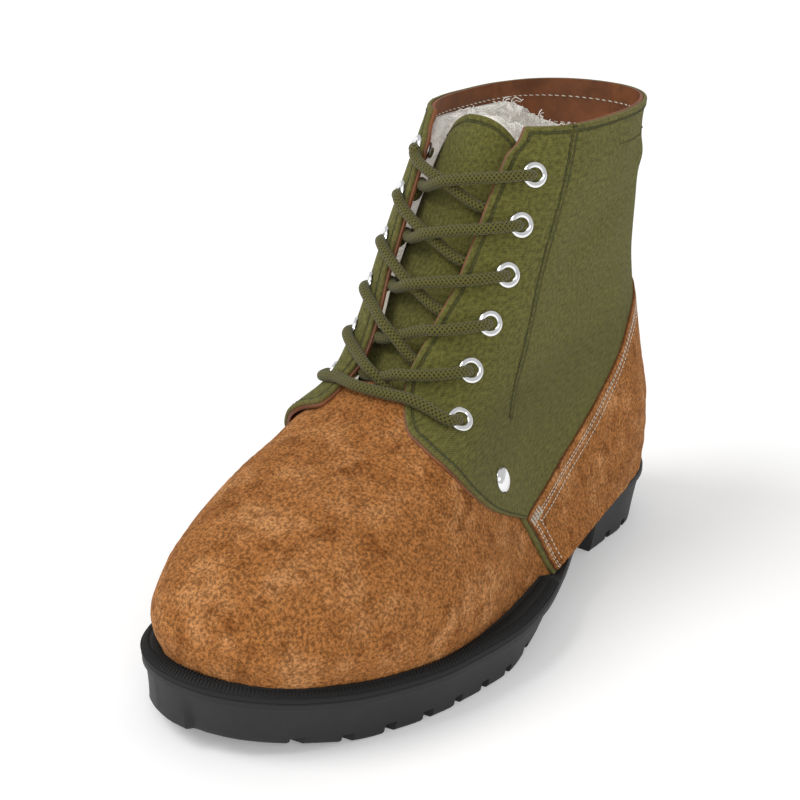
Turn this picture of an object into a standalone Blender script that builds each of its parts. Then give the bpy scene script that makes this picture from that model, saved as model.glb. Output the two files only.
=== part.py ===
"""Lace-up ankle boot for the wearer's left foot, standing empty on its sole.

The vamp and the heel counter are suede, the two quarters are canvas. Sizes are in millimetres until a
mesh is made. +Z is up, the toe points to -Y, the outer (lateral) side of the foot to +X.
"""

from math import cos, pi, radians, sin

import bmesh
import bpy
import numpy as np
from mathutils import Vector

MM = 0.001

# Driving sizes
TOE_END = -151.0
HEEL_END = 147.5
GAP = 0.5  # between two curved pieces that lie on each other
SEAT = 0.3  # between a piece and the flat face that carries it
WALL = 1.8  # thickness of the upper
CANVAS = 1.2
COUNTER = 2.2
LATERAL, MEDIAL = 1, -1

# Sole: a row for each station, its half widths from the centre line before the ends are rounded
SOLE_COLUMNS = ("y", "lateral", "medial", "top", "underside")
SOLE_ROWS = (
    (-151, 45.0, 47.0, 29.5, 9.0),
    (-126, 50.0, 49.0, 24.5, 4.0),
    (-100, 55.0, 50.0, 21.5, 0.0),
    (-65, 63.0, 51.0, 20.5, 0.0),
    (-30, 66.5, 48.0, 20.5, 0.0),
    (-8, 64.0, 44.0, 21.0, 5.0),
    (20, 56.0, 36.0, 22.5, 11.0),
    (50, 45.0, 33.0, 25.0, 13.5),
    (80, 38.5, 34.5, 26.5, 14.0),
    (110, 38.0, 36.0, 27.0, 14.0),
    (150, 38.0, 36.0, 27.0, 14.0),
)
SOLE = dict(zip(SOLE_COLUMNS, np.array(SOLE_ROWS, float).T))
TOE_SHIFT = -3.0  # the tip lies towards the big toe
TOE_SHIFT_FROM = -40.0
TOE_ROUND = {LATERAL: 85.0, MEDIAL: 55.0}
HEEL_ROUND = 46.0
END_POWER = 2.2
FOREFOOT_FLAT = (-100.0, -30.0)
HEEL_FRONT = 81.0
BREAST_RUN = 3.0
SIDE_TAPER = {LATERAL: 5.5, MEDIAL: 3.0}
EDGE_BEVEL = 1.2
RIM_HEIGHT = 3.0
RIM_STEP = 1.2

# Lugs under the sole
LUG_PITCH = 15.0
LUG_GROOVE = 4.6
LUG_DEPTH = 4.5
LUG_TURN = radians(9)
FOREFOOT_GROOVES = tuple(-121.0 + LUG_PITCH * k for k in range(8))
HEEL_GROOVES = (99.0, 114.0, 129.0)
FOREFOOT_AXIS = 8.0
CENTRE_BAR = 13.0

# Upper: a row for each level from the feather line up to the collar; widths at four stations
STATIONS = np.array((-115.0, -55.0, 25.0, 105.0))  # toe, ball, waist, heel
UPPER_COLUMNS = (
    "front_y", "front_z", "back_y", "back_z",
    "lateral_toe", "lateral_ball", "lateral_waist", "lateral_heel",
    "medial_toe", "medial_ball", "medial_waist", "medial_heel",
    "front_round", "back_round", "front_x",
)
UPPER_ROWS = (
    (-144, 29.0, 144.0, 27.0, 47, 58, 51, 36.5, 43, 45, 37, 35, 80, 52, -3),
    (-149, 45.0, 146.0, 44.0, 54, 60, 43, 37, 48, 49, 42, 36, 80, 54, -4),
    (-142, 60.5, 146.0, 62.0, 51, 54, 37.5, 36, 46, 48, 44, 36, 82, 54, -5),
    (-121, 74.5, 143.0, 80.0, 47, 47, 34, 33.5, 43, 44, 43, 35, 84, 54, -6),
    (-88, 86.0, 139.0, 99.0, 40, 40, 32.5, 31.5, 40, 40, 41, 34, 80, 52, -6),
    (-50, 97.5, 135.5, 118.0, 34, 34, 31.5, 29.5, 38, 38, 40, 33, 64, 50, -6),
    (-26, 116.0, 133.0, 139.0, 31, 31, 31, 29, 37, 37, 40, 34, 50, 50, -6),
    (-4, 148.0, 133.5, 166.0, 29, 29, 31, 29.5, 37, 37, 41, 36, 46, 50, -6),
    (27, 203.0, 135.0, 200.5, 25, 25, 32, 31, 34, 34, 41, 39, 48, 50, -6),
)
UPPER = dict(zip(UPPER_COLUMNS, np.array(UPPER_ROWS, float).T))
ROW_LEVELS = np.linspace(0, 1, len(UPPER_ROWS))
FEATHER_BLEND = 2.2  # how soon the levels stop following the sole's top

# Levels and places of the upper's facets, closer together where it turns
VAMP_LEVELS = (0, 0.03, 0.11, 0.21, 0.32, 0.42, 0.51, 0.57, 0.61)
SHAFT_LEVELS = (0.645, 0.67, 0.70, 0.75, 0.82, 0.90, 1)
RING_SHARES = np.concatenate([np.linspace(0, 0.24, 7), np.linspace(0.32, 0.70, 6), np.linspace(0.77, 1, 5)])

# Seams in side view, as (y, z) points
FLAP_EDGE = ((-32, 107.5), (-41, 98), (-44, 91), (-38, 79), (-22, 65), (4, 50))
COUNTER_TOP = ((4, 50), (20, 53), (44, 63), (70, 75.5), (92, 90.5), (110, 106), (134, 117), (160, 121))
COUNTER_FRONT = ((4, 50), (10.5, 39), (16, 24), (18, 10))
FLAP_OVER = 1.0  # how far a flap reaches past the upper's own edge
EYELET_LINE = {
    LATERAL: ((-23, 98.8), (7.4, 138.4), (32.5, 184.8)),
    MEDIAL: ((-20, 101.5), (5, 140.5), (30, 187.0)),
}
EYELET_ROWS = 6
RIVET = {LATERAL: (-10.5, 72.0), MEDIAL: (-10.5, 72.0)}

# Throat: half of its width at levels of the upper
THROAT_LEVELS = (0.645, 0.665, 0.70, 0.76, 0.85, 0.95, 1.0)
THROAT_HALF = (0.0, 7.0, 12.0, 14.5, 18.0, 20.5, 26.0)

# Tongue, hardware and lace
TONGUE = 2.5
TONGUE_DEPTH = 8.0
TONGUE_ROOT = 0.625
TONGUE_HALF = 31.0
EYELET_HOLE = 2.9
EYELET_BARREL = 3.35
EYELET_FLANGE = 5.6
EYELET_SIDES = 8
RIVET_SIDES = 10
FLANGE_LIFT = 0.6  # the flap is hollow under the lowest ones
FLANGE_ROLL = 1.1
EYELET_DEPTH = 3.7
CUT_RADIUS = 3.75
RIVET_PROFILE = ((4.8, 0.8), (4.8, 1.3), (3.4, 2.1), (1.2, 2.6))  # radius and height over the canvas
LACE_RADIUS = 2.2
LACE_SIDES = 6
LACE_START = -3.2  # where a lace comes up between the flaps
LACE_RISE = (0.78, 0.42)  # how far up from the row below, for the first crossing and for the others
LACE_MIDDLE = 0.75
BAR_LEVEL = 0.692  # where the straight bar crosses the front centre
BAR_HALF = 18.0
BAR_DROP = 0.01
INSOLE = 3.0
INSOLE_GAP = 0.8
WELT_SHARE = {LATERAL: 0.6, MEDIAL: 0.5}  # how far it runs back along the sides of the upper
WELT_HEIGHT = 4.2
WELT_FACE = ((-1.0, 3.4), (0.5, 1.9), (0.4, SEAT))  # step past the sole's edge and height over its top

COLOURS = {
    "rubber": ((0.018, 0.018, 0.019), 0.55, 0.0),
    "suede": ((0.42, 0.18, 0.065), 0.95, 0.0),
    "canvas": ((0.115, 0.12, 0.035), 0.9, 0.0),
    "fleece": ((0.8, 0.76, 0.66), 1.0, 0.0),
    "steel": ((0.75, 0.75, 0.74), 0.25, 1.0),
    "lace": ((0.075, 0.07, 0.025), 0.9, 0.0),
}


def through(keys, values, at):
    """Smooth curve through the values of a table: cubic between its rows, without overshoot."""
    keys = np.asarray(keys, float)
    values = np.asarray(values, float)
    at = np.clip(at, keys[0], keys[-1])
    rise = np.diff(values) / np.diff(keys)
    slope = np.empty_like(values)
    slope[0] = rise[0]
    slope[-1] = rise[-1]
    turning = rise[:-1] * rise[1:] <= 0
    total = np.where(turning, 1.0, rise[:-1] + rise[1:])
    slope[1:-1] = np.where(turning, 0.0, 2 * rise[:-1] * rise[1:] / total)
    i = np.clip(np.searchsorted(keys, at, side="right") - 1, 0, len(keys) - 2)
    span = keys[i + 1] - keys[i]
    t = (at - keys[i]) / span
    start = (1 + 2 * t) * (1 - t) ** 2 * values[i] + t * (1 - t) ** 2 * span * slope[i]
    end = t * t * (3 - 2 * t) * values[i + 1] - t * t * (1 - t) * span * slope[i + 1]
    return start + end


def rounded(distance, radius, power=END_POWER):
    """Share of the full width at a distance from a round end."""
    part = np.clip(1 - np.asarray(distance, float) / radius, 0, 1)
    return (1 - part ** power) ** (1 / power)


def lengths(points):
    """Running length along a row of points."""
    steps = np.linalg.norm(np.diff(points, axis=0), axis=1)
    return np.concatenate([[0], np.cumsum(steps)])


def spread(points, count):
    """Smooth curve through a few points, at evenly spaced places."""
    points = np.asarray(points, float)
    run = lengths(points)
    fine = np.linspace(0, run[-1], 40 * len(points))
    curve = np.column_stack([through(run, points[:, k], fine) for k in range(points.shape[1])])
    run = lengths(curve)
    places = np.linspace(0, run[-1], count) if isinstance(count, int) else np.asarray(count) * run[-1]
    return np.column_stack([np.interp(places, run, curve[:, k]) for k in range(points.shape[1])])


def sole_top(y):
    """Height of the sole's upper face."""
    return through(SOLE["y"], SOLE["top"], y)


class Skin:
    """Outer face of the upper: a net of levels (0 feather line, 1 collar) by places round the foot.

    A place is -1 or 1 at the front centre and 0 at the back; lateral places are positive.
    """

    LEVEL_STEPS = 96
    ARC_STEPS = 120

    def __init__(self):
        self.levels = np.linspace(0, 1, self.LEVEL_STEPS + 1)
        rows = []
        self.arc = {LATERAL: [], MEDIAL: []}
        for v in self.levels:
            halves = {side: self.half_loop(v, side) for side in (LATERAL, MEDIAL)}
            rows.append(np.vstack([halves[MEDIAL], halves[LATERAL][-2::-1]]))
            for side in (LATERAL, MEDIAL):
                self.arc[side].append(lengths(halves[side])[-1])
        self.points = np.array(rows)
        ring = self.points[:, :-1]
        along = np.roll(ring, -1, axis=1) - np.roll(ring, 1, axis=1)
        normals = np.cross(np.gradient(ring, axis=0), along)
        normals /= np.linalg.norm(normals, axis=2, keepdims=True)
        self.normals = np.concatenate([normals, normals[:, :1]], axis=1)

    def half_loop(self, v, side):
        """Evenly spaced points of one level, from the front centre to the back centre."""
        row = {name: through(ROW_LEVELS, UPPER[name], v) for name in UPPER_COLUMNS}
        share = (1 - np.cos(np.linspace(0, pi, 500))) / 2
        y = row["front_y"] + (row["back_y"] - row["front_y"]) * share
        name = "lateral_" if side == LATERAL else "medial_"
        widths = [row[name + station] for station in ("toe", "ball", "waist", "heel")]
        centre = row["front_x"] * (1 - share * share * (3 - 2 * share))
        cap = rounded(y - row["front_y"], row["front_round"]) * rounded(row["back_y"] - y, row["back_round"])
        x = centre + side * (through(STATIONS, widths, y) - side * centre) * cap
        chord = np.interp(y, (TOE_END, HEEL_END), (UPPER["front_z"][0], UPPER["back_z"][0]))
        fade = max(0.0, 1 - FEATHER_BLEND * v) ** 1.5
        z = row["front_z"] + (row["back_z"] - row["front_z"]) * share
        z = z + (sole_top(y) + SEAT - chord) * fade
        curve = np.column_stack([x, y, z])
        run = lengths(curve)
        even = np.linspace(0, run[-1], self.ARC_STEPS + 1)
        return np.column_stack([np.interp(even, run, curve[:, k]) for k in range(3)])

    def at(self, level, place, offset=0.0):
        """Points at levels and places, moved outwards by an offset."""
        level, place, offset = np.broadcast_arrays(np.asarray(level, float), place, offset)
        a = np.clip(level, 0, 1) * self.LEVEL_STEPS
        b = (np.clip(place, -1, 1) + 1) * self.ARC_STEPS
        i = np.minimum(a.astype(int), self.LEVEL_STEPS - 1)
        j = np.minimum(b.astype(int), 2 * self.ARC_STEPS - 1)
        s = (a - i)[..., None]
        t = (b - j)[..., None]

        def mix(net):
            low = net[i, j] * (1 - t) + net[i, j + 1] * t
            high = net[i + 1, j] * (1 - t) + net[i + 1, j + 1] * t
            return low * (1 - s) + high * s

        normal = mix(self.normals)
        normal /= np.linalg.norm(normal, axis=-1, keepdims=True)
        return mix(self.points) + normal * offset[..., None]

    def find(self, y, z, side):
        """Level and place of a point given in side view."""
        found_z = []
        found_place = []
        for row in self.points:
            half = row[:self.ARC_STEPS + 1] if side == MEDIAL else row[self.ARC_STEPS:][::-1]
            found_z.append(np.interp(y, half[:, 1], half[:, 2]) if y >= half[0, 1] else np.inf)
            found_place.append(np.interp(y, half[:, 1], np.linspace(1, 0, self.ARC_STEPS + 1)))
        found_z = np.array(found_z)
        inside = np.isfinite(found_z)
        level = np.interp(z, found_z[inside], self.levels[inside])
        place = np.interp(level, self.levels[inside], np.array(found_place)[inside])
        return level, side * place

    def seam(self, points, count, side):
        """Levels and places along a seam given in side view."""
        return np.array([self.find(y, z, side) for y, z in spread(points, count)])

    def level_at(self, level, place, offset, height):
        """Points of a level moved out in plan, so that the wall keeps its distance, at a height of their own."""
        here = self.at(level, place)
        normal = self.at(level, place, 1.0) - here
        plan = np.maximum(np.linalg.norm(normal[..., :2], axis=-1, keepdims=True), 0.5)
        here[..., :2] += normal[..., :2] * offset / plan ** 2
        here[..., 2] = height
        return here

    def front(self, level, across, offset=0.0):
        """Points at distances across the front centre, lateral ones positive."""
        level, across = np.broadcast_arrays(np.asarray(level, float), np.asarray(across, float))
        arc = np.where(across > 0, np.interp(level, self.levels, self.arc[LATERAL]),
                       np.interp(level, self.levels, self.arc[MEDIAL]))
        share = np.abs(across) / arc
        return self.at(level, np.where(across > 0, 1 - share, share - 1), offset)

    def across(self, level, place):
        """Distance of a place from the front centre, lateral ones positive."""
        arc = np.interp(level, self.levels, self.arc[LATERAL if place > 0 else MEDIAL])
        return np.sign(place) * (1 - abs(place)) * arc

    def axes(self, level, place, offset=0.0):
        """Point, outward normal and a direction along the level."""
        here, out, along = self.at(level, (place, place, place + 0.002), (offset, offset + 1, offset))
        normal = out - here
        along = along - here
        along -= normal * along.dot(normal)
        return here, normal, along / np.linalg.norm(along)


def solid(name, points, faces, colour, parent):
    """Closed mesh object from points in millimetres, its faces pointing out."""
    mesh = bpy.data.meshes.new(name)
    mesh.from_pydata([tuple(float(c) * MM for c in p) for p in points], [], [tuple(map(int, f)) for f in faces])
    work = bmesh.new()
    work.from_mesh(mesh)
    bmesh.ops.triangulate(work, faces=work.faces)
    if work.calc_volume(signed=True) < 0:
        bmesh.ops.reverse_faces(work, faces=work.faces)
    work.to_mesh(mesh)
    work.free()
    piece = bpy.data.objects.new(name, mesh)
    bpy.context.scene.collection.objects.link(piece)
    piece.parent = parent
    if colour:
        mesh.materials.append(material(colour))
    mesh.shade_smooth()
    mesh.set_sharp_from_angle(angle=radians(40))
    return piece


def material(name):
    """Principled material with the colour, roughness and metallic value of a finish."""
    found = bpy.data.materials.get(name)
    if found:
        return found
    colour, roughness, metallic = COLOURS[name]
    found = bpy.data.materials.new(name)
    found.use_nodes = True
    shader = found.node_tree.nodes["Principled BSDF"]
    shader.inputs["Base Color"].default_value = (*colour, 1.0)
    shader.inputs["Roughness"].default_value = roughness
    shader.inputs["Metallic"].default_value = metallic
    return found


def shell(outer, inner, joined_rows=0):
    """Points and faces of a wall between two nets of rows by columns.

    In the first joined_rows rows the last column is the first one, so that the wall runs all round.
    """
    rows, columns, _ = outer.shape
    index = np.arange(rows * columns).reshape(rows, columns)
    index[:joined_rows, -1] = index[:joined_rows, 0]
    far = index + rows * columns
    faces = []
    for i in range(rows - 1):
        for j in range(columns - 1):
            faces.append((index[i, j], index[i, j + 1], index[i + 1, j + 1], index[i + 1, j]))
            faces.append((far[i, j], far[i + 1, j], far[i + 1, j + 1], far[i, j + 1]))
    for j in range(columns - 1):
        faces.append((index[0, j], far[0, j], far[0, j + 1], index[0, j + 1]))
        faces.append((index[-1, j], index[-1, j + 1], far[-1, j + 1], far[-1, j]))
    for i in range(max(0, joined_rows - 1), rows - 1):
        faces.append((index[i, 0], index[i + 1, 0], far[i + 1, 0], far[i, 0]))
        faces.append((index[i, -1], far[i, -1], far[i + 1, -1], index[i + 1, -1]))
    points = np.concatenate([outer.reshape(-1, 3), inner.reshape(-1, 3)])
    used = sorted({n for face in faces for n in face})
    new = {old: k for k, old in enumerate(used)}
    tidy = []
    for face in faces:
        corners = list(dict.fromkeys(new[n] for n in face))
        if len(corners) > 2:
            tidy.append(corners)
    return points[used], tidy


def tube_net(path, radius, sides):
    """Rings of points round a path."""
    path = np.asarray(path, float)
    tangent = np.gradient(path, axis=0)
    tangent /= np.linalg.norm(tangent, axis=1, keepdims=True)
    across = np.cross(tangent[0], (0.0, 0.0, 1.0))
    rings = []
    for here, along in zip(path, tangent):
        across = across - along * across.dot(along)
        across /= np.linalg.norm(across)
        up = np.cross(along, across)
        turns = np.arange(sides) * 2 * pi / sides
        rings.append(here + radius * (np.outer(np.cos(turns), across) + np.outer(np.sin(turns), up)))
    return np.array(rings)


def closed_rings(rings):
    """Points and faces of rings joined in order, with both ends filled."""
    count, sides, _ = rings.shape
    index = np.arange(count * sides).reshape(count, sides)
    faces = [tuple(index[0][::-1]), tuple(index[-1])]
    for i in range(count - 1):
        for j in range(sides):
            k = (j + 1) % sides
            faces.append((index[i, j], index[i, k], index[i + 1, k], index[i + 1, j]))
    return rings.reshape(-1, 3), faces


def turned(profile, here, normal, along, sides):
    """Points and faces of a closed profile of (radius, height) turned round a normal."""
    side = np.cross(normal, along)
    rings = []
    for turn in np.arange(sides) * 2 * pi / sides:
        spoke = along * cos(turn) + side * sin(turn)
        rings.append([here + spoke * radius + normal * height for radius, height in profile])
    points = np.array(rings).reshape(-1, 3)
    size = len(profile)
    faces = []
    for i in range(sides):
        for j in range(size):
            a, b = i * size, ((i + 1) % sides) * size
            k = (j + 1) % size
            faces.append((a + j, a + k, b + k, b + j))
    return points, faces


def combine(parts):
    """Several point and face lists as one."""
    points = []
    faces = []
    for part_points, part_faces in parts:
        start = sum(len(p) for p in points)
        points.append(part_points)
        faces.extend(tuple(n + start for n in face) for face in part_faces)
    return np.concatenate(points), faces


def cut(piece, cutter, operation="DIFFERENCE"):
    """Boolean modifier whose other object stays out of the model."""
    cutter.hide_render = True
    cutter.display_type = "WIRE"
    modifier = piece.modifiers.new(cutter.name, "BOOLEAN")
    modifier.operation = operation
    modifier.solver = "EXACT"
    modifier.object = cutter


def box(centre, size, turn=0.0):
    """Points and faces of a box turned about the vertical."""
    corners = []
    for x in (-0.5, 0.5):
        for y in (-0.5, 0.5):
            for z in (-0.5, 0.5):
                a, b = x * size[0], y * size[1]
                corners.append((centre[0] + a * cos(turn) - b * sin(turn),
                                centre[1] + a * sin(turn) + b * cos(turn), centre[2] + z * size[2]))
    faces = [(0, 1, 3, 2), (4, 6, 7, 5), (0, 4, 5, 1), (2, 3, 7, 6), (0, 2, 6, 4), (1, 5, 7, 3)]
    return np.array(corners), faces


def sole_stations():
    """Stations of the sole's loops, closer together where it turns."""
    toe = TOE_END + TOE_ROUND[LATERAL] * (1 - np.cos(np.linspace(0, pi / 2, 11)))
    heel = HEEL_END - HEEL_ROUND * (1 - np.cos(np.linspace(pi / 2, 0, 8)))
    middle = (-50, -40, -30, -19, -8, 6, 20, 35, 50, 65, HEEL_FRONT - BREAST_RUN, HEEL_FRONT, 92)
    return np.concatenate([toe, middle, heel])


def underside(y):
    """Height of the sole's lower face without its lugs: toe spring, forefoot, arch and heel."""
    z = through(SOLE["y"], SOLE["underside"], y)
    flat = (y >= FOREFOOT_FLAT[0] - 0.01) & (y <= FOREFOOT_FLAT[1] + 0.01)
    return np.where(flat | (y >= HEEL_FRONT - 0.01), 0.0, z)


def outline(y, side):
    """Half width of the sole on one side, as a place across."""
    name = "lateral" if side == LATERAL else "medial"
    tip = TOE_SHIFT * np.clip((TOE_SHIFT_FROM - y) / (TOE_SHIFT_FROM - TOE_END), 0, 1)
    ends = rounded(y - TOE_END, TOE_ROUND[side]) * rounded(HEEL_END - y, HEEL_ROUND)
    return tip + side * (through(SOLE["y"], SOLE[name], y) - side * tip) * ends


def sole_ring(inset):
    """Loop of the sole's outline drawn in by an inset: toe, lateral side, heel, medial side."""
    y = sole_stations()
    lateral = np.column_stack([outline(y, LATERAL), y])
    medial = np.column_stack([outline(y, MEDIAL), y])[-2:0:-1]
    ring = np.concatenate([lateral, medial])
    along = np.roll(ring, -1, axis=0) - np.roll(ring, 1, axis=0)
    out = np.column_stack([along[:, 1], -along[:, 0]]) / np.linalg.norm(along, axis=1, keepdims=True)
    inset = np.asarray(inset, float)
    return ring - out * (inset[:, None] if inset.ndim else inset), ring[:, 1]


def strips(ring, reverse):
    """Faces across a loop, from each lateral point to the medial one at the same station."""
    size = len(ring)
    half = size // 2
    faces = []
    for i in range(half):
        corners = [ring[i], ring[i + 1], ring[(size - i - 1) % size], ring[(size - i) % size]]
        corners = list(dict.fromkeys(corners))
        faces.append(corners[::-1] if reverse else corners)
    return faces


def make_outsole(parent):
    """Moulded rubber sole with its rim, tapered side, arch, heel and lugs."""
    ring, y = sole_ring(0.0)
    lateral = ring[:, 0] > outline_centre(y)
    taper = np.where(lateral, SIDE_TAPER[LATERAL], SIDE_TAPER[MEDIAL])
    top = sole_top(y)
    low = underside(y)
    loops = []
    none = np.zeros_like(y)
    levels = (
        (taper, low),
        (taper - 0.8, low + EDGE_BEVEL),
        (none + RIM_STEP, top - RIM_HEIGHT - 0.6),
        (none, top - RIM_HEIGHT),
        (none, top),
    )
    for inset, height in levels:
        loop, _ = sole_ring(inset)
        loops.append(np.column_stack([loop, height]))
    points = np.concatenate(loops)
    size = len(ring)
    faces = []
    for i in range(len(loops) - 1):
        for j in range(size):
            k = (j + 1) % size
            faces.append((i * size + j, i * size + k, (i + 1) * size + k, (i + 1) * size + j))
    faces += strips(list(range(size)), reverse=True)
    last = (len(loops) - 1) * size
    faces += strips(list(range(last, last + size)), reverse=False)
    sole = solid("outsole", points, faces, "rubber", parent)
    grooves = []
    for y in FOREFOOT_GROOVES + HEEL_GROOVES:
        axis = FOREFOOT_AXIS if y < 0 else 0.0
        bar = CENTRE_BAR if y < 0 else CENTRE_BAR - 3
        top = float(underside(np.array(y))) + LUG_DEPTH
        for side in (LATERAL, MEDIAL):
            centre = (axis + side * (bar + 40), y, top - 15)
            grooves.append(box(centre, (80, LUG_GROOVE, 30), side * LUG_TURN))
    cut(sole, solid("side_grooves", *combine(grooves), None, parent))
    channels = []
    for side in (LATERAL, MEDIAL):
        channels.append(box((FOREFOOT_AXIS + side * CENTRE_BAR, -70, LUG_DEPTH - 16), (3.4, 92, 30)))
    for y in FOREFOOT_GROOVES[1:-1]:
        channels.append(box((FOREFOOT_AXIS, y + LUG_PITCH / 2, LUG_DEPTH - 16), (18, 3.0, 30)))
    cut(sole, solid("centre_grooves", *combine(channels), None, parent))
    return sole


def outline_centre(y):
    """Middle of the sole's outline."""
    return (outline(y, LATERAL) + outline(y, MEDIAL)) / 2


def ring_net(skin, levels, places, offset, over=0.0):
    """Net of levels by places at an offset, drawn back from the throat by its half width less the overlap."""
    rows = []
    for v in levels:
        row = places.copy()
        if v > THROAT_LEVELS[0]:
            gap = float(through(THROAT_LEVELS, THROAT_HALF, v)) - over
            for side in (LATERAL, MEDIAL):
                mine = places * side > 0
                row[mine] *= 1 - gap / np.interp(v, skin.levels, skin.arc[side])
        rows.append(skin.at(v, row, offset))
    return np.array(rows)


def make_upper(skin, parent):
    """Hollow upper: one wall, open at the collar, the throat and underneath."""
    levels = VAMP_LEVELS + SHAFT_LEVELS
    places = np.concatenate([RING_SHARES - 1, 1 - RING_SHARES[-2::-1]])
    outer = ring_net(skin, levels, places, 0.0)
    inner = ring_net(skin, levels, places, -WALL)
    for net in (outer, inner):
        net[0, :, 2] = sole_top(net[0, :, 1]) + SEAT
    return solid("upper", *shell(outer, inner, len(VAMP_LEVELS) + 1), "suede", parent)


def prism(name, seam, parent):
    """Cutter through the whole boot from a closed seam in side view."""
    half = 120.0
    faces = np.array([[(x, y, z) for y, z in seam] for x in (-half, half)])
    return solid(name, *closed_rings(faces), None, parent)


def make_quarter(skin, side, seam, parent):
    """Canvas quarter from its flap edge to the back seam, cut from the upper's own form."""
    levels = VAMP_LEVELS[2:] + SHAFT_LEVELS
    places = side * (1 - RING_SHARES)
    places[-1] = side * SEAT / 2 / skin.arc[side][-1]
    outer = ring_net(skin, levels, places, GAP + CANVAS, FLAP_OVER)
    inner = ring_net(skin, levels, places, GAP, FLAP_OVER)
    name = "quarter_lateral" if side == LATERAL else "quarter_medial"
    quarter = solid(name, *shell(outer, inner), "canvas", parent)
    cut(quarter, seam, "INTERSECT")
    return quarter


def make_counter(skin, parent):
    """Suede counter round the heel, from one vamp seam to the other and up to the quarters."""
    levels = (0.012,) + VAMP_LEVELS[1:] + SHAFT_LEVELS[:2]
    half = 1 - RING_SHARES[RING_SHARES > 0.3]
    places = np.concatenate([-half, half[-2::-1]])
    outer = ring_net(skin, levels, places, GAP + COUNTER)
    inner = ring_net(skin, levels, places, GAP)
    counter = solid("heel_counter", *shell(outer, inner), "suede", parent)
    top = spread(np.array(COUNTER_TOP) - (0, SEAT), 16)
    front = spread(COUNTER_FRONT, 6)[:0:-1]
    seam = np.concatenate([front, top, [(160, 10)]])
    cut(counter, prism("counter_seam", seam, parent), "INTERSECT")
    return counter


def make_insole(skin, parent):
    """Insole on the sole, inside the upper."""
    ring_places = np.concatenate([1 - RING_SHARES, RING_SHARES[-2:0:-1] - 1])
    loops = []
    for level, lift in ((0.0, SEAT), (0.03, SEAT + INSOLE)):
        height = sole_top(skin.at(level, ring_places)[:, 1]) + lift
        loops.append(skin.level_at(level, ring_places, -WALL - INSOLE_GAP, height))
    size = len(ring_places)
    faces = [(j, (j + 1) % size, size + (j + 1) % size, size + j) for j in range(size)]
    faces += strips(list(range(size)), reverse=True)
    faces += strips(list(range(size, 2 * size)), reverse=False)
    return solid("insole", np.concatenate(loops), faces, "fleece", parent)


def make_welt(skin, parent):
    """Storm welt round the forefoot, between the upper and the edge of the sole."""
    halves = []
    for side in (LATERAL, MEDIAL):
        places = RING_SHARES[RING_SHARES < WELT_SHARE[side]]
        share = places / places[-1]
        inner_places = side * (1 - places)
        end_y = skin.at(0.0, inner_places[-1])[1]
        y = TOE_END + (end_y - TOE_END) * (1 - np.cos(np.linspace(0, pi / 2, 200)))
        edge = np.column_stack([outline(y, side), y])
        run = lengths(edge)
        edge = np.column_stack([np.interp(share * run[-1], run, edge[:, k]) for k in range(2)])
        along = np.gradient(edge, axis=0)
        out = side * np.column_stack([along[:, 1], -along[:, 0]]) / np.linalg.norm(along, axis=1, keepdims=True)
        out[0] = (0, -1)
        fade = np.clip((1 - share) / 0.06, 0.25, 1)
        base = sole_top(edge[:, 1])
        low = skin.level_at(0.0, inner_places, GAP + SEAT, base + SEAT)
        high = skin.level_at(0.03, inner_places, GAP + SEAT, base + WELT_HEIGHT)
        section = [low, high]
        for step, lift in WELT_FACE:
            outer = edge + out * step * fade[:, None]
            section.append(np.column_stack([outer, base + lift * fade + SEAT * (1 - fade)]))
        section[-1][:, 2] = base + SEAT
        halves.append(np.array(section).transpose(1, 0, 2))
    rings = np.concatenate([halves[1][:0:-1], halves[0]])
    return solid("welt", *closed_rings(rings), "rubber", parent)


def make_tongue(skin, parent):
    """Tongue under the throat, from its root inside the vamp to just above the flaps."""
    levels = np.array((TONGUE_ROOT, 0.65, 0.68, 0.72, 0.77, 0.84, 0.92, 1.0))
    depth = np.interp(levels, (TONGUE_ROOT, 0.68), (WALL + GAP + 0.1, TONGUE_DEPTH))
    half = np.interp(levels, (TONGUE_ROOT, 0.75, 0.95, 1.0), (22, TONGUE_HALF, TONGUE_HALF, TONGUE_HALF - 7))
    share = np.linspace(-1, 1, 11)
    outer = np.array([skin.front(v, share * h, -d) for v, h, d in zip(levels, half, depth)])
    inner = np.array([skin.front(v, share * h, -d - TONGUE) for v, h, d in zip(levels, half, depth)])
    for net in (outer, inner):
        net[-1, :, 2] += 3.0 - 6.0 * share ** 2
    return solid("tongue", *shell(outer, inner), "canvas", parent)


def eyelet_places(skin, side):
    """Level and place of each eyelet, from the lowest up."""
    return skin.seam(EYELET_LINE[side], EYELET_ROWS, side)


def make_eyelets(skin, side, parent, pierced):
    """Six metal eyelets, and the holes that they pass through."""
    profile = (
        (EYELET_HOLE, -EYELET_DEPTH),
        (EYELET_BARREL, -EYELET_DEPTH),
        (EYELET_BARREL, FLANGE_LIFT),
        (EYELET_FLANGE, FLANGE_LIFT),
        (EYELET_FLANGE - 1.0, FLANGE_LIFT + FLANGE_ROLL),
        (EYELET_HOLE + 0.3, FLANGE_LIFT + 0.7),
    )
    word = "lateral" if side == LATERAL else "medial"
    cutters = []
    for row, (level, place) in enumerate(eyelet_places(skin, side), start=1):
        frame = skin.axes(level, place, GAP + CANVAS)
        shape = turned(profile, *frame, EYELET_SIDES)
        solid(f"eyelet_{word}_{row}", *shape, "steel", parent)
        here, normal, along = frame
        across = np.cross(normal, along)
        turns = np.arange(EYELET_SIDES) * 2 * pi / EYELET_SIDES
        spokes = CUT_RADIUS * (np.outer(np.cos(turns), along) + np.outer(np.sin(turns), across))
        cutters.append(closed_rings(np.array([here - normal * 8 + spokes, here + normal * 3 + spokes])))
    cutter = solid(f"holes_{word}", *combine(cutters), None, parent)
    for piece in pierced:
        cut(piece, cutter)


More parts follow.
